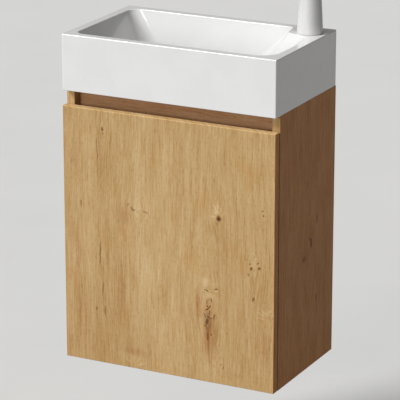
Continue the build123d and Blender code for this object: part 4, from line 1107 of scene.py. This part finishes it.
@dataclass
class Tap:
    """The column tap with its spout and top lever."""

    axis: tuple[float, float] = (191.0, -48.0)
    foot: float = 171.0
    top: float = 298.0
    foot_radius: float = 25.0
    top_radius: float = 18.0
    socket_radius: float = 14.0
    socket_depth: float = 20.0
    spout_turn: float = 201.8
    spout_height: float = 268.0
    spout_reach: float = 112.0
    spout_root: float = 12.0
    spout_tip: float = 10.5
    flare: float = 5.0
    flare_length: float = 7.0
    outlet_radius: float = 8.0
    bush_radius: float = 7.0
    inlet_depth: float = 14.0
    inlet_spread: float = 7.5
    inlet_forward: float = 4.0
    spout_nose: float = 8.0
    ball_radius: float = 13.5
    lever_length: float = 84.0
    lever_nose: float = 4.0
    lever_flat: float = 6.0
    lever_low: tuple[float, float] = (4.5, 13.5)
    lever_high: tuple[float, float] = (11.5, 17.0)
    lever_half_width: tuple[float, float] = (8.0, 5.0)

    def along(self, local: np.ndarray, height: float) -> np.ndarray:
        """Points given along the spout, across it and up from a height, turned into the row's frame."""
        turn = math.radians(self.spout_turn)
        ahead, aside = np.array([math.cos(turn), math.sin(turn)]), np.array([-math.sin(turn), math.cos(turn)])
        flat = np.array(self.axis) + local[..., :1] * ahead + local[..., 1:2] * aside
        return np.concatenate([flat, local[..., 2:] + height], axis=-1)

    def column(self) -> bpy.types.Object:
        """The tapered column with a softened foot and a rounded lip round its socket."""
        lip, bottom = self.top_radius - 0.1, self.top - self.socket_depth
        profile = np.concatenate([
            bowed((self.foot_radius - 0.9, self.foot), (self.foot_radius - 0.05, self.foot + 0.9),
                  (self.foot_radius, self.foot), 6),
            [(self.foot_radius - 0.12, self.foot + 2.0), (self.top_radius + 0.1, self.top - 2.0)],
            bowed((self.top_radius, self.top - 1.2), (lip - 1.1, self.top), (lip, self.top), 7),
            bowed((self.socket_radius + 1.0, self.top), (self.socket_radius, self.top - 1.0),
                  (self.socket_radius, self.top), 6),
            [(self.socket_radius, bottom)]])
        return turned("tap_body_smooth", profile, self.axis, 96)

    def spout(self) -> bpy.types.Object:
        """The spout: circles along its axis, widened near the column so that it grows out of it.

        The radius falls from root to tip in a straight line, plus the flare times e to the minus distance
        over the flare's length, times the root of 1 less the square of the way through the rounded tip.
        """
        start, end, nose = self.top_radius - 6.0, self.spout_reach + self.spout_tip, self.spout_nose
        body = start + (end - nose - start) * np.linspace(0.0, 1.0, 40) ** 1.8
        tip = end - nose + nose * np.sin(np.linspace(0.0, math.pi / 2.0, 12))[1:]
        distance = np.concatenate([body, tip])
        straight = np.interp(distance, [start, end], [self.spout_root, self.spout_tip])
        leaving = np.maximum(distance - self.top_radius - 1.0, -2.0)
        radius = straight + self.flare * np.exp(-leaving / self.flare_length)
        through = np.clip((distance - (end - nose)) / nose, 0.0, 1.0)
        radius = radius * np.sqrt(np.maximum(1.0 - through ** 2, 0.0004))
        angle = np.linspace(0.0, 2.0 * math.pi, 64, endpoint=False)
        local = np.stack(np.broadcast_arrays(
            distance[:, None], radius[:, None] * np.cos(angle), radius[:, None] * np.sin(angle)), axis=-1)
        return grid_mesh("spout", self.along(local, self.spout_height), False, True, True, True)

    def drills(self) -> list[bpy.types.Object]:
        """What is cut out of the body: the outlet under the spout's tip and the seats of the two inlet bushes."""
        x, y = self.along(np.array([self.spout_reach, 0.0, 0.0]), 0.0)[:2]
        low, high = self.spout_height - 14.0, self.spout_height - 2.0
        made = [turned("outlet", np.array([(self.outlet_radius, low), (self.outlet_radius, high)]), (x, y), 48)]
        for side in (-1.0, 1.0):
            centre = (self.axis[0] + side * self.inlet_spread, self.axis[1] - self.inlet_forward)
            well = np.array([(self.bush_radius, self.foot - 2.0), (self.bush_radius, self.foot + self.inlet_depth)])
            made.append(turned("inlet", well, centre, 32))
        return made

    def blade(self) -> bpy.types.Object:
        """The lever's blade: rounded rectangles along its length.

        Each section is a fourth-power ellipse. Its middle rises and its width and height fall in straight
        lines, and both shrink by the root of 1 less the square of the way through the rounded end.
        """
        nose, length = self.lever_nose, self.lever_length
        body = np.linspace(0.0, length - nose, 26)
        end = length - nose + nose * np.sin(np.linspace(0.0, math.pi / 2.0, 9))[1:]
        distance = np.concatenate([body, end])
        low = np.interp(distance, [0.0, length], self.lever_low)
        high = np.interp(distance, [self.lever_flat, length], self.lever_high)
        half_width = np.interp(distance, [0.0, length], self.lever_half_width)
        through = np.clip((distance - (length - nose)) / nose, 0.0, 1.0)
        shrink = np.sqrt(np.maximum(1.0 - through ** 2, 0.002))
        angle = np.linspace(0.0, 2.0 * math.pi, 40, endpoint=False)
        across = np.sign(np.cos(angle)) * np.abs(np.cos(angle)) ** 0.5
        up = np.sign(np.sin(angle)) * np.abs(np.sin(angle)) ** 0.5
        middle, half_height = (low + high) / 2.0, (high - low) / 2.0
        local = np.stack(np.broadcast_arrays(
            distance[:, None], (half_width * shrink)[:, None] * across,
            middle[:, None] + (half_height * shrink)[:, None] * up), axis=-1)
        return grid_mesh("blade", self.along(local, self.top), False, True, True, True)

    def ball(self) -> bpy.types.Object:
        """The lever's ball: radius and height are the ball's radius times the cosine and sine of latitude."""
        latitude = np.linspace(-0.497 * math.pi, 0.497 * math.pi, 40)
        profile = self.ball_radius * np.stack([np.cos(latitude), np.sin(latitude)], axis=-1) + (0.0, self.top)
        return turned("tap_lever_smooth", profile, self.axis, 72)

    def build(self) -> None:
        """Makes the body and the lever, and dresses the tap's other parts."""
        coat = Glaze("tap_coat", (0.69, 0.69, 0.684), roughness=0.27, wave_width=2.5, wave_height=0.006,
                     coat=0.15).build()
        body = self.column()
        join_up(body, [self.spout()], Join.ADD)
        join_up(body, self.drills(), Join.TAKE)
        crease(body, 50.0)
        settle(body, "cabinet", ("tap_body",), coat)
        lever = self.ball()
        join_up(lever, [self.blade()], Join.ADD)
        crease(lever, 45.0)
        settle(lever, "tap_lever", ("tap_lever",), coat)
        brass = Metal("turned_brass", (0.66, 0.50, 0.24), roughness=0.28, scratches=0.25, rings=0.5)
        steel = Metal("tap_steel", (0.58, 0.58, 0.57), roughness=0.32)
        seal = Moulding("pale_seal", (0.62, 0.62, 0.61), roughness=0.60, texture=0.05, specular=0.35)
        grey = Moulding("aerator_plastic", (0.26, 0.27, 0.28), roughness=0.42)
        white = Moulding("cartridge_plastic", (0.80, 0.80, 0.78), roughness=0.40)
        for nodes, finish in ((("tap_nut", "cartridge_nut", "mixer_stem", "inlet_bushes"), brass),
                              (("tap_stud", "tap_washer", "lever_pin"), steel), (("tap_base_seal",), seal),
                              (("spout_aerator",), grey), (("mixer_cartridge",), white)):
            material = finish.build()
            for node in nodes:
                dress_node(node, material)


# Studio


@dataclass(frozen=True)
class Lamp:
    """A soft, far light, which falls alike on the whole scene."""

    name: str
    left: float
    up: float
    softness: float
    power: float

    def build(self) -> None:
        """Hangs the lamp in its direction: left of the front and up, in degrees."""
        data = bpy.data.lights.new(self.name, "SUN")
        data.angle = math.radians(self.softness)
        data.energy = self.power
        made = bpy.data.objects.new(self.name, data)
        bpy.context.scene.collection.objects.link(made)
        left, up = math.radians(self.left), math.radians(self.up)
        away = Vector((-math.sin(left) * math.cos(up), -math.cos(left) * math.cos(up), math.sin(up)))
        made.location = away * 3.0
        made.rotation_euler = (-away).to_track_quat("-Z", "Y").to_euler()


@dataclass
class Studio:
    """A pale floor, soft lamps and the camera."""

    floor_height: float = -0.75
    floor_radius: float = 16.0
    floor_tones: tuple[Colour, Colour] = ((0.71, 0.71, 0.70), (0.75, 0.75, 0.74))
    camera_place: Point = (2.080, -4.214, 1.279)
    azimuth: float = 27.0
    elevation: float = 17.5
    focal_pixels: float = 2479.3
    picture_pixels: float = 400.0
    sensor: float = 36.0
    world: float = 0.183
    world_colour: Colour = (1.0, 0.985, 0.955)
    lamps: tuple[Lamp, ...] = (
        Lamp("key", 45.0, 46.0, 24.0, 2.85),
        Lamp("front_fill", 8.0, 13.0, 20.0, 1.10),
    )

    def floor(self) -> None:
        """A wide matt disc: rings of radius r times r, so that they lie closer in the middle."""
        radius = self.floor_radius / MM * np.linspace(0.0005, 1.0, 12) ** 2
        angle = np.linspace(0.0, 2.0 * math.pi, 96, endpoint=False)
        points = np.stack(np.broadcast_arrays(
            radius[::-1, None] * np.cos(angle), radius[::-1, None] * np.sin(angle),
            self.floor_height / MM), axis=-1)
        made = grid_mesh("floor", points, False, True, False, True)
        shader = Shader("floor_plain")
        tone = shader.noise(shader.join(*shader.place()), 2.0, 0.5, 0.004)
        colour = shader.blend(tone, *self.floor_tones)
        dress(made, shader.finish(Base_Color=colour, Roughness=0.9))
        made.visible_diffuse = False

    def camera(self) -> None:
        """The camera, with no shift: lens over sensor is the focal length over the picture, in pixels."""
        data = bpy.data.cameras.new("camera")
        data.sensor_width = self.sensor
        data.lens = self.focal_pixels / self.picture_pixels * self.sensor
        data.clip_start, data.clip_end = 0.1, 100.0
        made = bpy.data.objects.new("camera", data)
        bpy.context.scene.collection.objects.link(made)
        turn, drop = math.radians(self.azimuth), math.radians(self.elevation)
        made.rotation_euler = (math.pi / 2.0 - drop, 0.0, turn)
        made.location = self.camera_place
        bpy.context.scene.camera = made

    def build(self) -> None:
        """Sets up the floor, camera, lamps, dim surroundings and plain colour handling."""
        self.floor()
        self.camera()
        for lamp in self.lamps:
            lamp.build()
        world = bpy.data.worlds.new("soft_surroundings")
        world.use_nodes = True
        background = world.node_tree.nodes["Background"]
        background.inputs["Color"].default_value = (*self.world_colour, 1.0)
        background.inputs["Strength"].default_value = self.world
        bpy.context.scene.world = world
        bpy.context.scene.view_settings.view_transform = "Standard"


def main() -> None:
    """Builds the studio and every sub-assembly in order."""
    logging.basicConfig(level=logging.INFO, format="%(message)s")
    for part in (Studio(), Cabinet(), Basin(), Waste(), Tap()):
        LOG.info("building %s", type(part).__name__)
        part.build()


if __name__ == "__main__":
    main()
